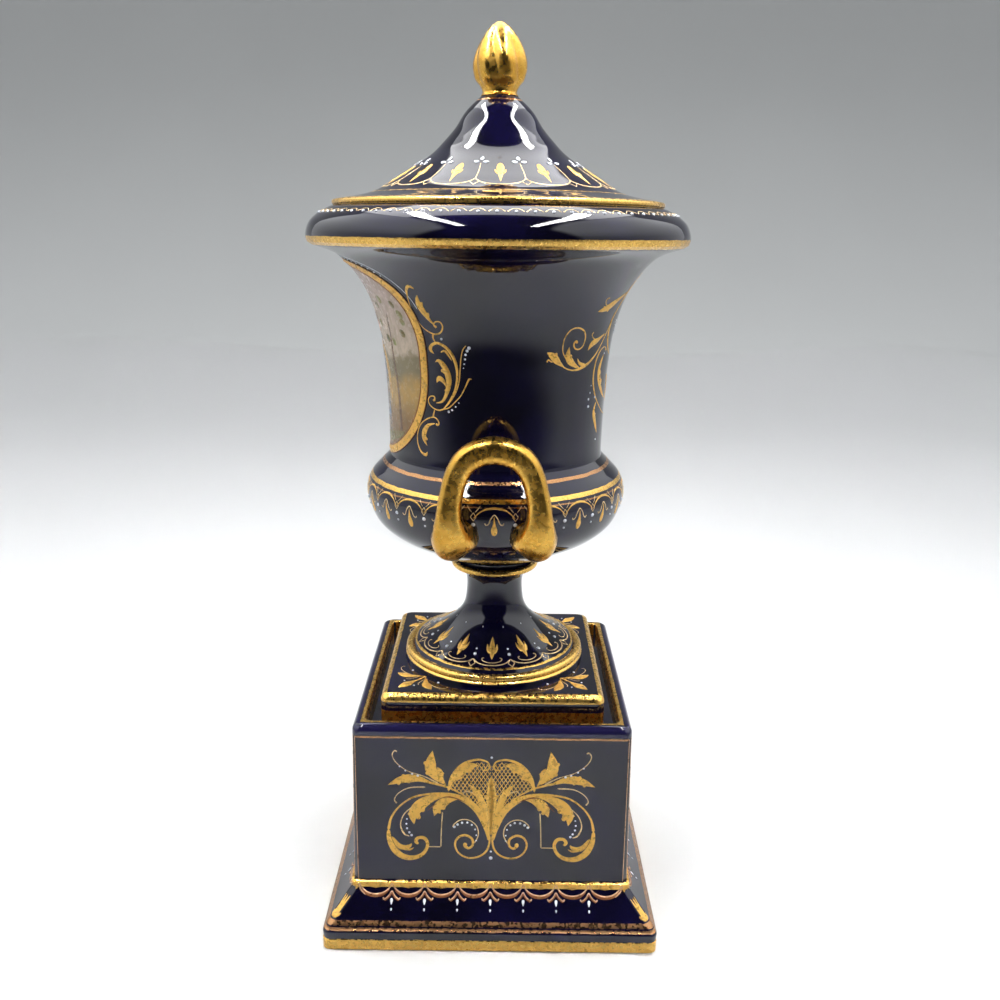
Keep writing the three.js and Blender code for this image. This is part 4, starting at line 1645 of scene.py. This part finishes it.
@dataclass(frozen=True)
class Foot:
    """The square slab with its flared stem, gilt ring and collar."""

    slab_half: float = 37.75
    slab_bottom: float = 74.3
    slab_top: float = 86.0
    slab_round: float = 2.6
    slab_corner: float = 2.4
    wall: float = 4.0
    step_radius: float = 32.6
    step_round: float = 1.2
    ring_radius: float = 30.7
    ring_height: float = 88.9
    ring_size: float = 1.5
    flare_radius: float = 28.7
    stem_radius: float = 10.05
    collar_radius: float = 15.5
    collar_height: float = 120.8
    collar_round: float = 1.1
    neck_radius: float = 12.6
    top: float = 123.3

    def flare(self) -> list[Point]:
        """The swept outline from inside the ring up to the collar.

        Returns:
            Its points.
        """
        return smooth([
            (self.flare_radius, self.ring_height + 2.5),
            (22.4, 94.4),
            (15.2, 99.4),
            (11.2, 104.6),
            (self.stem_radius, 111),
            (self.stem_radius + 0.3, 116.4),
            (12.3, 118.9),
        ], 44)

    def stem_outline(self) -> list[Point]:
        """The turned part's outline, from the axis up to the axis.

        Returns:
            Its points.
        """
        collar = (self.collar_radius - self.collar_round, self.collar_height)
        return [
            (0, self.slab_top - self.step_round),
            (self.step_radius, self.slab_top - self.step_round),
            *arc((self.step_radius - self.step_round, self.slab_top + 0.9), self.step_round, -10, 60, 5),
            *arc((self.ring_radius, self.ring_height), self.ring_size, -35, 135, 14),
            *self.flare(),
            *arc(collar, self.collar_round, -70, 90, 10),
            (self.neck_radius, self.collar_height + 1.5),
            (self.neck_radius, self.top),
            (0, self.top),
        ]

    def stem_hollow(self) -> list[Point]:
        """The outline of the hollow inside the stem.

        Returns:
            Its points.
        """
        ceiling = self.slab_top - self.wall
        return [
            (0, ceiling - 1),
            (self.flare_radius - 1.4, ceiling - 1),
            *smooth([
                (self.flare_radius - 1.4, self.ring_height - 4.2),
                (20, 90.6),
                (12.4, 95.6),
                (7.4, 102),
                (5.6, 110),
                (5.4, 116),
            ], 20),
            (0, 117),
        ]

    def glaze(self) -> CobaltGlaze:
        """The glaze with the foot's gilt edges and lines.

        Returns:
            The finish.
        """
        square = Measure.SQUARE
        return CobaltGlaze("cobalt_glaze_foot", (
            Band(Paint.GOLD, 74, 80, 36.6, 38.6, square),
            Band(Paint.GOLD, 83.2, 86.4, 35.6, 38.6, square),
            Band(Paint.GOLD, 87.4, 90.7, 29.6, 32.6),
            Band(Paint.GOLD, 91.1, 91.6, 28.0, 29.2),
            Band(Paint.GOLD, 119.9, 122.0, 13.9, 16.2),
            Band(Paint.PORCELAIN, 74, 81.9, 0, 33.9, square),
        ))

    def build(self) -> None:
        """Models the foot and hands it over."""
        slab = square_piece("foot_shell", [
            (self.slab_half, self.slab_bottom),
            *arc((self.slab_half - self.slab_round, self.slab_top - self.slab_round),
                 self.slab_round, 0, 90, 8),
        ], [
            (self.slab_half - self.wall, self.slab_bottom),
            (self.slab_half - self.wall, self.slab_top - self.wall),
        ], self.slab_corner)
        stem = turned_piece("stem", self.stem_outline())
        hollow = turned_piece("stem_hollow", self.stem_hollow(), TURN_STEPS // 2)
        for tool, operation in ((stem, "UNION"), (hollow, "DIFFERENCE")):
            apply_modifier(slab, "BOOLEAN", operation=operation, object=tool, solver="EXACT")
            bpy.data.objects.remove(tool)
        soften(slab, weigh=True)
        hand_over(slab, "dark_glaze", self.glaze().build(), "foot")
        self.decorate()

    def decorate(self) -> None:
        """Paints the border round the stem's flare and the sprays on the slab's corners."""
        ornament = Decoration("foot_ornament")
        girth = 25.0
        cells = 12
        half = math.pi * girth / cells
        ornament.lay(foot_cell(half), TurnedGround(self.flare(), girth), around(cells, girth, -1.2))
        slab_top = ((SPRAY_EDGE, self.slab_top), (24.0, self.slab_top), (10.0, self.slab_top))
        for quarter in range(4):
            ornament.lay(corner_spray(), SideGround(slab_top, quarter))
        ornament.build()


@dataclass(frozen=True)
class Bowl:
    """The bell-shaped body with its rolled lip."""

    seat: float = 123.6
    seat_radius: float = 14.0
    bulge_radius: float = 45.0
    bulge_height: float = 149.0
    neck_radius: float = 36.6
    neck_foot: float = 162.0
    lip_radius: float = 62.9
    lip_height: float = 234.6
    rim_radius: float = 54.9
    mouth_radius: float = 48.4
    rim_top: float = 243.2

    def bulge(self) -> list[Point]:
        """The outline of the low bulge, from the seat up to the neck's foot.

        Returns:
            Its points.
        """
        return smooth([
            (self.seat_radius, self.seat),
            (20.4, 126.1),
            (28.4, 130),
            (36.6, 134.5),
            (42.3, 140.2),
            (self.bulge_radius, self.bulge_height),
            (43.6, 154.6),
            (39.9, 158.8),
            (self.neck_radius + 0.2, self.neck_foot),
        ], 56)

    def bell(self) -> list[Point]:
        """The outline of the bell, from the neck's foot up to the lip's underside.

        Returns:
            Its points.
        """
        return smooth([
            (self.neck_radius, self.neck_foot + 2),
            (self.neck_radius + 0.5, 182),
            (self.neck_radius + 1.5, 195),
            (39.8, 206),
            (44.2, 218),
            (51.8, 227.6),
            (60.6, 231.2),
        ], 50)

    def lip(self) -> list[Point]:
        """The outline of the rolled lip, from its lower edge up to the rim.

        Returns:
            Its points.
        """
        return smooth([
            (62.3, 232.2),
            (self.lip_radius, self.lip_height),
            (61.6, 238.4),
            (58.6, 241.2),
            (self.rim_radius, self.rim_top),
        ], 24)

    def inside(self) -> list[Point]:
        """The outline of the hollow, from the mouth down to the middle of its floor.

        Returns:
            Its points.
        """
        return [
            *smooth([
                (self.mouth_radius, self.rim_top),
                (self.mouth_radius + 0.8, 241),
                (53.9, 238.2),
                (55.4, 234.4),
                (52.6, 230.6),
                (46.8, 226.4),
                (40.6, 218.4),
                (36.1, 206),
                (34.3, 195),
                (33.4, 182),
                (33, 164),
            ], 40),
            *smooth([
                (35.6, 159.4),
                (39.6, 154.4),
                (41, 149),
                (38.4, 141.4),
                (31.4, 135.8),
                (22.2, 131.2),
                (14, 128.4),
            ], 20),
            (0, 127.8),
        ]

    def glaze(self) -> CobaltGlaze:
        """The glaze with the bowl's gilt bands and lines.

        Returns:
            The finish.
        """
        return CobaltGlaze("cobalt_glaze_bowl", (
            Band(Paint.GOLD, 231.3, 234.0, 60.2, 64),
            Band(Paint.GOLD, 154.3, 155.6, 42.5, 46),
            Band(Paint.COPPER, 153.0, 153.4, 42.5, 46),
            Band(Paint.COPPER, 159.2, 160.1, 36.5, 42),
        ))

    def build(self) -> None:
        """Models the bowl and hands it over."""
        outline = [(0, self.seat), *self.bulge(), *self.bell(), *self.lip(), *self.inside()]
        piece = turned_piece("bowl_shell", outline)
        soften(piece)
        hand_over(piece, "dark_glaze", self.glaze().build(), "urn_body")
        self.decorate()

    def decorate(self) -> None:
        """Paints the borders of the bulge and the lip, and the scrolls on the neck."""
        ornament = Decoration("bowl_ornament")
        bulge = TurnedGround(self.bulge(), 44.5)
        degree = math.radians(bulge.girth)
        wide, side = 8.4, 7.5
        ornament.lay(bulge_cell(wide * degree), bulge, [Spot(), Spot(180 * degree)])
        middles = [wide + 6.4 + side * (2 * step + 1) for step in range(10)]
        ornament.lay(bulge_cell(side * degree), bulge,
                     [Spot(hand * middle * degree) for middle in middles for hand in (-1, 1)])
        cusps = [wide, *(wide + 6.4 + 2 * side * step for step in range(11)), 180 - wide]
        ornament.lay(cusp_cell(), bulge, [Spot(hand * cusp * degree) for cusp in cusps for hand in (-1, 1)])
        lip = TurnedGround(self.lip(), 58.0)
        cells = 70
        ornament.lay(lip_cell(math.pi * lip.girth / cells), lip, around(cells, lip.girth))
        ornament.lay(neck_scroll(), self.neck(math.pi), [Spot(0, 2), Spot(0, 2, mirrored=True)])
        ornament.lay(back_scroll(), self.neck(0), [Spot(0, 2), Spot(0, 2, mirrored=True)])
        ornament.build()

    def neck(self, facing: float) -> TurnedGround:
        """The neck, to paint on, measured from the crease at its foot."""
        return TurnedGround([(self.neck_radius + 0.2, self.neck_foot), *self.bell()], 37.5, facing)


@dataclass(frozen=True)
class Medallion:
    """The framed picture on the neck: a landscape with two figures, in a beaded gilt frame."""

    half_width: float = 35.2
    half_height: float = 33.0
    middle: float = 34.7
    fullness: float = 2.45
    frame_width: float = 1.5
    bead_pitch: float = 3.5

    def ring(self, grow: float, steps: int = 96) -> tuple[Point, ...]:
        """The frame's middle line, moved outwards.

        Args:
            grow: How far.
            steps: How many stretches it is drawn with.

        Returns:
            Its points, the last one on the first.
        """
        points = []
        for step in range(steps + 1):
            angle = math.tau * step / steps
            sine, cosine = math.sin(angle), math.cos(angle)
            size = (abs(cosine) ** self.fullness + abs(sine) ** self.fullness) ** (-1 / self.fullness)
            points.append(((self.half_width + grow) * size * cosine,
                           self.middle + (self.half_height + grow) * size * sine))
        return tuple(points)

    def figures(self) -> Motif:
        """A seated and a standing figure under a tree, in broad touches of colour.

        Returns:
            The motif.
        """
        seated = (
            Stroke(((-12, 14), (-8, 20), (-5, 27), (-6, 33)), (5.5, 6.5, 4.2, 2.0), Pigment.ROSE),
            Stroke(((-14, 12), (-4, 13.5), (5, 12)), (1.5, 3.4, 0.8), Pigment.LINEN, 0.03),
            Stroke(((-6, 27), (-2, 26), (2, 27.5)), (1.2, 1.0, 0.7), Pigment.FLESH, 0.05),
            Stroke(((-6, 33.4), (-5.8, 38.2)), (1.9, 2.1), Pigment.FLESH, 0.06),
            Stroke(((-8, 37), (-6.4, 39.8), (-4.2, 38.6)), (0.8, 1.3, 0.6), Pigment.UMBER, 0.08),
        )
        standing = (
            Stroke(((10, 12), (9, 22), (8, 32), (8, 41)), (3.6, 4.4, 3.8, 2.2), Pigment.BLUE),
            Stroke(((6, 40), (12, 32), (15, 20)), (0.8, 2.6, 1.0), Pigment.OCHRE, 0.03),
            Stroke(((6.4, 38), (3, 33), (1.6, 29)), (1.0, 0.9, 0.6), Pigment.FLESH, 0.05),
            Stroke(((8.2, 41.6), (8.4, 46.2)), (1.8, 2.0), Pigment.FLESH, 0.06),
            Stroke(((6.6, 45.4), (8.4, 47.8), (10.4, 45.8)), (0.7, 1.2, 0.6), Pigment.UMBER, 0.08),
        )
        tree = (
            Stroke(((22, 10), (21, 24), (19.5, 38), (21, 50)), (1.5, 1.1, 0.9, 0.4), Pigment.UMBER),
            *(Stroke(((20 + 7.5 * math.cos(turn * 2.4), 46 + 7 * math.sin(turn * 2.4)),
                      (22 + 7.5 * math.cos(turn * 2.4), 47.5 + 7 * math.sin(turn * 2.4))), (2.6, 2.2),
                     Pigment.OLIVE if turn % 2 else Pigment.LEAF_GREEN, 0.01 * turn) for turn in range(9)),
        )
        ground = (
            Stroke(((-28, 12), (-14, 7), (4, 6), (24, 10)), (1.6, 3.4, 3.6, 1.6), Pigment.OLIVE, -0.02),
            Stroke(((-26, 26), (-20, 30), (-24, 36)), (2.4, 3.0, 1.2), Pigment.OLIVE, -0.02),
            Stroke(((-24, 54), (-12, 57), (2, 55)), (0.6, 2.2, 0.8), Pigment.LINEN, -0.08),
        )
        return Motif((*ground, *tree, *seated, *standing))

    def build_panel(self, ground: TurnedGround) -> None:
        """Models the picture's ground as a thin panel wrapped round the neck.

        Args:
            ground: The neck.
        """
        start_clean()
        bpy.ops.mesh.primitive_grid_add(x_subdivisions=64, y_subdivisions=64, size=2)
        panel = bpy.context.active_object
        panel.name = panel.data.name = "medallion_panel"
        flat = np.array([vertex.co for vertex in panel.data.vertices])
        reach = np.abs(flat[:, :2]).max(axis=1)
        size = (np.abs(flat[:, :2]) ** self.fullness).sum(axis=1) ** (1 / self.fullness)
        scale = np.divide(reach, size, out=np.zeros_like(size), where=size > 0)
        flat[:, 0] *= scale * self.half_width
        flat[:, 1] = flat[:, 1] * scale * self.half_height + self.middle
        flat[:, 2] = 0.15
        for vertex, place in zip(panel.data.vertices, ground.lay(flat)):
            vertex.co = place * MM
        apply_modifier(panel, "SOLIDIFY", thickness=0.5 * MM, offset=-1)
        soften(panel, math.radians(60))
        hand_over(panel, "painted_panel", PaintedLandscape().build())

    def build(self) -> None:
        """Models the panel, the figures, the frame, and a gold bead with a painted shadow under it at each
        step round the frame.
        """
        ground = Bowl().neck(math.pi)
        self.build_panel(ground)
        rim = self.ring(0)
        beads_and_shadows = []
        length = sum(math.dist(here, there) for here, there in pairwise(rim))
        count = round(length / self.bead_pitch)
        course = smooth(rim, count * 4)[::4]
        for u, v in course[:count]:
            # Under each gold bead lies a larger dark dot that shows just below it: a painted shadow.
            beads_and_shadows.append(Dot(u, v, 0.62, Pigment.SHADE, 0.02))
            beads_and_shadows.append(Dot(u, v + 0.1, 0.5, Pigment.GOLD, 0.22))
        outer = self.ring(3.2)
        top = [point for point in outer if point[1] > 56 and abs(point[0]) < 27]
        frame_strokes = (
            Stroke(rim, (self.frame_width, self.frame_width), Pigment.GOLD, 0.12, closed=True),
            Stroke(self.ring(-1.35), (0.22, 0.22), Pigment.SHADE, 0.24, closed=True),
            Stroke(self.ring(1.45), (0.14, 0.14), Pigment.SHADE, 0.2, closed=True),
            Stroke(tuple(point for point in outer if point[1] > 50), (0.1, 0.14, 0.1), Pigment.WHITE),
        )
        ornament = Decoration("medallion")
        ornament.lay(self.figures(), ground)
        ornament.lay(Motif(frame_strokes, tuple(beads_and_shadows)), ground)
        ornament.lay(Motif((), pearls([(u, v - 1.2) for u, v in top], (0.3, 0.3, 26))), ground)
        ornament.build()


@dataclass(frozen=True)
class Handles:
    """The two upright gilt loops, each on two spreading feet."""

    reach: float = 50.0
    top: float = 172.9
    around: int = 28
    stations: int = 64

    def leg(self) -> list[tuple[float, ...]]:
        """Half a loop from its top to its foot.

        Returns:
            For each place on it: sideways, inward, height, half width across and half depth.
        """
        return [
            (0, 0, self.top, 4.35, 4.5),
            (7.2, 0, 170.8, 4.2, 4.3),
            (11.1, 0, 165.8, 3.9, 4.0),
            (13.2, 0, 158.4, 3.8, 3.9),
            (13.9, 0.2, 151.6, 4.3, 4.2),
            (13.6, 1.4, 146.6, 5.8, 5.0),
            (12.9, 4.4, 143.7, 7.1, 6.3),
            (12.2, 8.2, 142.6, 7.6, 6.9),
        ]

    def path(self) -> list[tuple[float, ...]]:
        """Both legs of the loop, from the left foot over the top to the right foot.

        Returns:
            Its points.
        """
        right = self.leg()
        left = [(-side, *rest) for side, *rest in reversed(right[1:])]
        return smooth([*left, *right], self.stations)

    def build_loop(self, name: str) -> bpy.types.Object:
        """Rolls a grid up along the path, with a soft flute down its front.

        Args:
            name: The piece's name.

        Returns:
            The front loop, at the origin.
        """
        path = self.path()
        start_clean()
        bpy.ops.mesh.primitive_grid_add(x_subdivisions=self.around, y_subdivisions=len(path) - 1, size=1)
        piece = bpy.context.active_object
        piece.name = piece.data.name = name
        centres = [Vector((side, inward - self.reach, height)) for side, inward, height, *_ in path]
        vertices = iter(piece.data.vertices)
        for index, centre in enumerate(centres):
            along = (centres[min(index + 1, len(centres) - 1)] - centres[max(index - 1, 0)]).normalized()
            across = Vector((0, -1, 0)).cross(along)
            across = across.normalized() if across.length > 0.2 else Vector((0, 0, 1))
            depth = along.cross(across).normalized()
            half_width, half_depth = path[index][3:5]
            for step in range(self.around + 1):
                angle = math.tau * step / self.around
                flute = 1 - 0.075 * math.exp(-(math.remainder(angle, math.tau) / 0.42) ** 2)
                ridge = 1 + 0.035 * math.cos(4 * angle + math.pi)
                offset = (depth * math.cos(angle) * half_depth
                          + across * math.sin(angle) * half_width) * flute * ridge
                next(vertices).co = (centre + offset) * MM
        bpy.ops.object.mode_set(mode="EDIT")
        bpy.ops.mesh.select_all(action="SELECT")
        bpy.ops.mesh.remove_doubles(threshold=2e-6)
        bpy.ops.mesh.select_all(action="DESELECT")
        bpy.ops.mesh.select_mode(type="EDGE")
        bpy.ops.mesh.select_non_manifold()
        bpy.ops.mesh.edge_face_add()
        tidy_shell()
        bpy.ops.object.mode_set(mode="OBJECT")
        return piece

    def build(self) -> None:
        """Models the front loop, copies it to the back and hands both over."""
        gold = Gilding("gilding_handles").build()
        front = self.build_loop("handle_front")
        soften(front, math.radians(50))
        back = front.copy()
        back.data = front.data.copy()
        back.name = back.data.name = "handle_back"
        bpy.context.scene.collection.objects.link(back)
        back.data.transform(Matrix.Rotation(math.pi, 4, "Z"))
        for piece in (front, back):
            hand_over(piece, "gilding", gold, "urn_body")


@dataclass(frozen=True)
class Lid:
    """The lid: a gilt edge, a swept cone and a bud."""

    under: float = 243.5
    edge_radius: float = 54.2
    edge_thickness: float = 1.9
    guide_radius: float = 47.6
    guide_inner: float = 44.2
    guide_depth: float = 5.0
    bud_radius: float = 8.3
    bud_waist: float = 279.0
    bud_tip: float = 299.5
    petals: int = 6

    def cone(self) -> list[Point]:
        """The outline of the swept cone, from the gilt edge up to the bud.

        Returns:
            Its points.
        """
        return smooth([
            (self.edge_radius - 1.1, self.under + self.edge_thickness),
            (46.8, 246.5),
            (40.2, 248.3),
            (33.8, 252),
            (27.4, 256),
            (21.6, 260),
            (17.6, 264),
            (14.1, 268),
            (11.5, 272),
            (9.2, 274.6),
            (5.9, 277.5),
        ], 70)

    def outline(self) -> list[Point]:
        """The whole lid's outline, from the crown's hollow round to the bud's foot.

        Returns:
            Its points.
        """
        half_edge = self.edge_thickness / 2
        return [
            (0, 271),
            *smooth([
                (5.4, 269.6),
                (9.6, 266),
                (13.6, 261.6),
                (18, 257.2),
                (24, 252.8),
                (31, 249),
                (40.6, 245.6),
                (self.guide_inner, 242.6),
            ], 24),
            (self.guide_inner, self.under - self.guide_depth),
            (self.guide_radius, self.under - self.guide_depth),
            (self.guide_radius, self.under),
            (self.edge_radius - 0.5, self.under),
            *arc((self.edge_radius - half_edge, self.under + half_edge), half_edge, -60, 60, 8),
            *self.cone(),
            (0, 277.8),
        ]

    def bud(self) -> list[Point]:
        """The bud's outline, from the axis up to its tip.

        Returns:
            Its points.
        """
        return [
            (0, 277.2),
            (5.2, 277.2),
            *smooth([
                (6.1, 277.6),
                (5.5, 278.7),
                (6.2, 280.6),
                (7.6, 282.6),
                (self.bud_radius, 286.6),
                (7.7, 290.2),
                (6.1, 294),
                (3.6, 297.4),
                (1.3, 299.2),
            ], 36),
            (0, self.bud_tip),
        ]

    def glaze(self) -> CobaltGlaze:
        """The glaze with the lid's gilt edge and lines.

        Returns:
            The finish.
        """
        return CobaltGlaze("cobalt_glaze_lid", (
            Band(Paint.GOLD, 243.3, 246.2, 51.6, 55),
            Band(Paint.GOLD, 246.8, 248.6, 41.5, 42.4),
            Band(Paint.COPPER, 275.9, 276.4, 0, 9),
        ))

    def decorate(self) -> None:
        """Paints the border round the cone and the small oval at its front."""
        ornament = Decoration("lid_ornament")
        cone = TurnedGround(self.cone(), 36.0)
        cells = 15
        ornament.lay(lid_cell(math.pi * cone.girth / cells), cone, around(cells, cone.girth, 1.2))
        oval = tuple((1.2 + 4.7 * math.cos(turn), 9.0 + 1.0 * math.sin(turn))
                     for turn in (math.tau * step / 16 for step in range(17)))
        ornament.lay(Motif((Stroke(oval, (0.14, 0.14), closed=True),
                            Stroke(((-3, 9), (-1.6, 9.1), (0.4, 9)), (0.4, 0.62, 0.2)))), cone)
        ornament.build()

    def shape_petals(self, piece: bpy.types.Object) -> None:
        """Presses soft, slightly twisted petals into the bud.

        Args:
            piece: The bud, still round.
        """
        for vertex in piece.data.vertices:
            x, y, z = vertex.co
            share = min(max((z / MM - self.bud_waist) / (self.bud_tip - self.bud_waist), 0), 1)
            angle = math.atan2(y, x) + 0.5 * share
            lobe = abs(math.cos(self.petals / 2 * angle)) - 0.64
            scale = 1 + 0.16 * lobe * math.sin(math.pi * share ** 0.8)
            vertex.co = (x * scale, y * scale, z)

    def build(self) -> None:
        """Models the lid and its bud and hands them over."""
        piece = turned_piece("lid_shell", self.outline())
        soften(piece)
        hand_over(piece, "dark_glaze", self.glaze().build(), "lid")
        self.decorate()
        bud = turned_piece("lid_bud", self.bud(), 96)
        self.shape_petals(bud)
        soften(bud, math.radians(60))
        hand_over(bud, "gilding", Gilding("gilding_bud").build(), "lid")


# ---------------------------------------------------------------- studio

@dataclass(frozen=True)
class Studio:
    """A pale sweep, soft lights and the camera."""

    lens: float = 35.02
    place: tuple[float, float, float] = (2.06, -334.2, 236.2)
    yaw: float = -0.00126
    pitch: float = 0.2701
    roll: float = 0.0120

    def build_camera(self) -> None:
        """Places the camera."""
        data = bpy.data.cameras.new("camera")
        data.lens = self.lens
        data.clip_start = 0.01
        camera = bpy.data.objects.new("camera", data)
        bpy.context.scene.collection.objects.link(camera)
        ahead = Vector((math.sin(self.yaw) * math.cos(self.pitch),
                        math.cos(self.yaw) * math.cos(self.pitch), -math.sin(self.pitch)))
        right = Vector((math.cos(self.yaw), -math.sin(self.yaw), 0))
        up = right.cross(ahead)
        turned_right = right * math.cos(self.roll) + up * math.sin(self.roll)
        turned_up = up * math.cos(self.roll) - right * math.sin(self.roll)
        matrix = Matrix((turned_right, turned_up, -ahead)).transposed().to_4x4()
        matrix.translation = Vector(self.place) * MM
        camera.matrix_world = matrix
        bpy.context.scene.camera = camera

    def build_sweep(self) -> None:
        """Models the floor and the backdrop as one sweep, the floor painted near black towards the front as
        painted shade.
        """
        start_clean()
        bpy.ops.mesh.primitive_plane_add(size=2.4, location=(0, -0.35, 0))
        sweep = bpy.context.active_object
        sweep.name = "floor_sweep"
        bpy.ops.object.transform_apply(location=True, rotation=True, scale=True)
        bpy.ops.object.mode_set(mode="EDIT")
        select_edges(sweep, lambda edge: all(vertex.co.y > 0.8 for vertex in edge.verts))
        for rise in range(1, 9):
            angle = math.radians(90 * rise / 8)
            bend = 0.55
            turn = math.radians(90 * (rise - 1) / 8)
            step = (0, bend * (math.sin(angle) - math.sin(turn)), bend * (math.cos(turn) - math.cos(angle)))
            bpy.ops.mesh.extrude_region_move(TRANSFORM_OT_translate={"value": step})
        bpy.ops.mesh.extrude_region_move(TRANSFORM_OT_translate={"value": (0, 0, 1.2)})
        bpy.ops.object.mode_set(mode="OBJECT")
        soften(sweep)
        graph = Graph("pale_paper_with_painted_shade")
        paper = graph.mix(graph.noise(3, 2), (0.60, 0.61, 0.61, 1), (0.66, 0.67, 0.67, 1))
        # Towards the front the floor turns near black: painted shade for the unlit room before the set.
        graph.feed(graph.shader.inputs["Base Color"],
                   graph.mix(graph.span(graph.y, -0.55, -0.2), (0.03, 0.03, 0.035, 1), paper))
        graph.shader.inputs["Roughness"].default_value = 0.55
        sweep.data.materials.append(graph.material)

    def add_light(self, name: str, place: tuple[float, float, float], size: Point, power: float,
                  target: tuple[float, float, float] = (0, 0, 0.16)) -> None:
        """Adds one soft rectangular light.

        Args:
            name: Its name.
            place: Where it stands, in metres.
            size: Its width and height in metres.
            power: Its power in watts.
            target: The point it faces.
        """
        data = bpy.data.lights.new(name, "AREA")
        data.shape = "RECTANGLE"
        data.size, data.size_y = size
        data.energy = power
        light = bpy.data.objects.new(name, data)
        light.location = place
        light.rotation_euler = (Vector(target) - Vector(place)).to_track_quat("-Z", "Y").to_euler()
        bpy.context.scene.collection.objects.link(light)

    def build_world(self) -> None:
        """Surrounds the set with the white walls of a light tent, open and dark in front and above."""
        world = bpy.data.worlds.new("light_tent")
        bpy.context.scene.world = world
        world.use_nodes = True
        tree = world.node_tree
        coordinates = tree.nodes.new("ShaderNodeTexCoord")
        parts = tree.nodes.new("ShaderNodeSeparateXYZ")
        tree.links.new(coordinates.outputs["Generated"], parts.inputs[0])

        def span(source: bpy.types.NodeSocket, low: float, high: float,
                 start: float = 0, end: float = 1) -> bpy.types.NodeSocket:
            """Maps a direction's part smoothly from one span onto another.

            Args:
                source: The direction's part.
                low: The first span's start.
                high: The first span's end.
                start: The second span's start.
                end: The second span's end.

            Returns:
                The mapped value.
            """
            node = tree.nodes.new("ShaderNodeMapRange")
            node.interpolation_type = "SMOOTHSTEP"
            tree.links.new(source, node.inputs[0])
            for socket, number in zip(node.inputs[1:5], (low, high, start, end)):
                socket.default_value = number
            return node.outputs[0]

        def join(operation: str, first: bpy.types.NodeSocket, second: object) -> bpy.types.NodeSocket:
            """Joins two values with a Math node.

            Args:
                operation: The node's operation.
                first: The first value.
                second: The second value.

            Returns:
                The result.
            """
            node = tree.nodes.new("ShaderNodeMath")
            node.operation = operation
            for socket, value in zip(node.inputs, (first, second)):
                if isinstance(value, bpy.types.NodeSocket):
                    tree.links.new(value, socket)
                else:
                    socket.default_value = value
            return node.outputs[0]

        aside = join("ABSOLUTE", parts.outputs["X"], 0.0)
        ahead, upward = parts.outputs["Y"], parts.outputs["Z"]
        walls = join("MULTIPLY", span(aside, 0.42, 0.5), span(ahead, -0.72, -0.62))
        back = span(ahead, 0.05, 0.4)
        white = join("MAXIMUM", walls, back)
        glow = join("MULTIPLY", walls, span(upward, 0.1, 0.6, 0.0, 1.3))
        level = join("ADD", join("ADD", join("MULTIPLY", white, 0.75), glow), 0.02)
        shade = tree.nodes["Background"]
        tree.links.new(level, shade.inputs["Strength"])
        shade.inputs["Color"].default_value = (0.96, 0.98, 1.0, 1)

    def build_led_strips(self) -> None:
        """Hangs two strips of small lamps above the set, running from front to back."""
        graph = Graph("led_strip")
        lamps = []
        for source, pitch in ((graph.x, 0.012), (graph.y, 0.012)):
            lamps.append(graph.within(graph.calc("FRACT", graph.calc("DIVIDE", source, pitch)), 0.25, 0.75))
        graph.shader.inputs["Base Color"].default_value = (0, 0, 0, 1)
        graph.shader.inputs["Emission Color"].default_value = (1, 1, 1, 1)
        graph.feed(graph.shader.inputs["Emission Strength"],
                   graph.calc("MULTIPLY", graph.calc("MULTIPLY", *lamps), 160.0))
        for side, name in ((-1, "led_strip_left"), (1, "led_strip_right")):
            start_clean()
            bpy.ops.mesh.primitive_plane_add(size=1)
            strip = bpy.context.active_object
            strip.name = name
            strip.data.transform(Matrix.Translation((side * 0.17, -0.12, 0.62))
                                 @ Matrix.Rotation(math.pi, 4, "X") @ Matrix.Diagonal((0.04, 0.55, 1, 1)))
            strip.data.materials.append(graph.material)
            strip.visible_camera = False

    def build(self) -> None:
        """Builds the whole set."""
        self.build_camera()
        self.build_sweep()
        self.build_world()
        self.build_led_strips()
        self.add_light("overhead", (0, 0.35, 0.95), (0.9, 0.5), 5)
        bpy.context.scene.view_settings.view_transform = "Standard"


def main() -> None:
    """Builds the studio and the urn, piece by piece."""
    logging.basicConfig(level=logging.INFO, format="%(name)s %(message)s")
    bpy.context.scene.cursor.location = (0, 0, 0)
    Studio().build()
    for assembly in (Plinth(), Foot(), Bowl(), Medallion(), Handles(), Lid()):
        assembly.build()


if __name__ == "__main__":
    main()
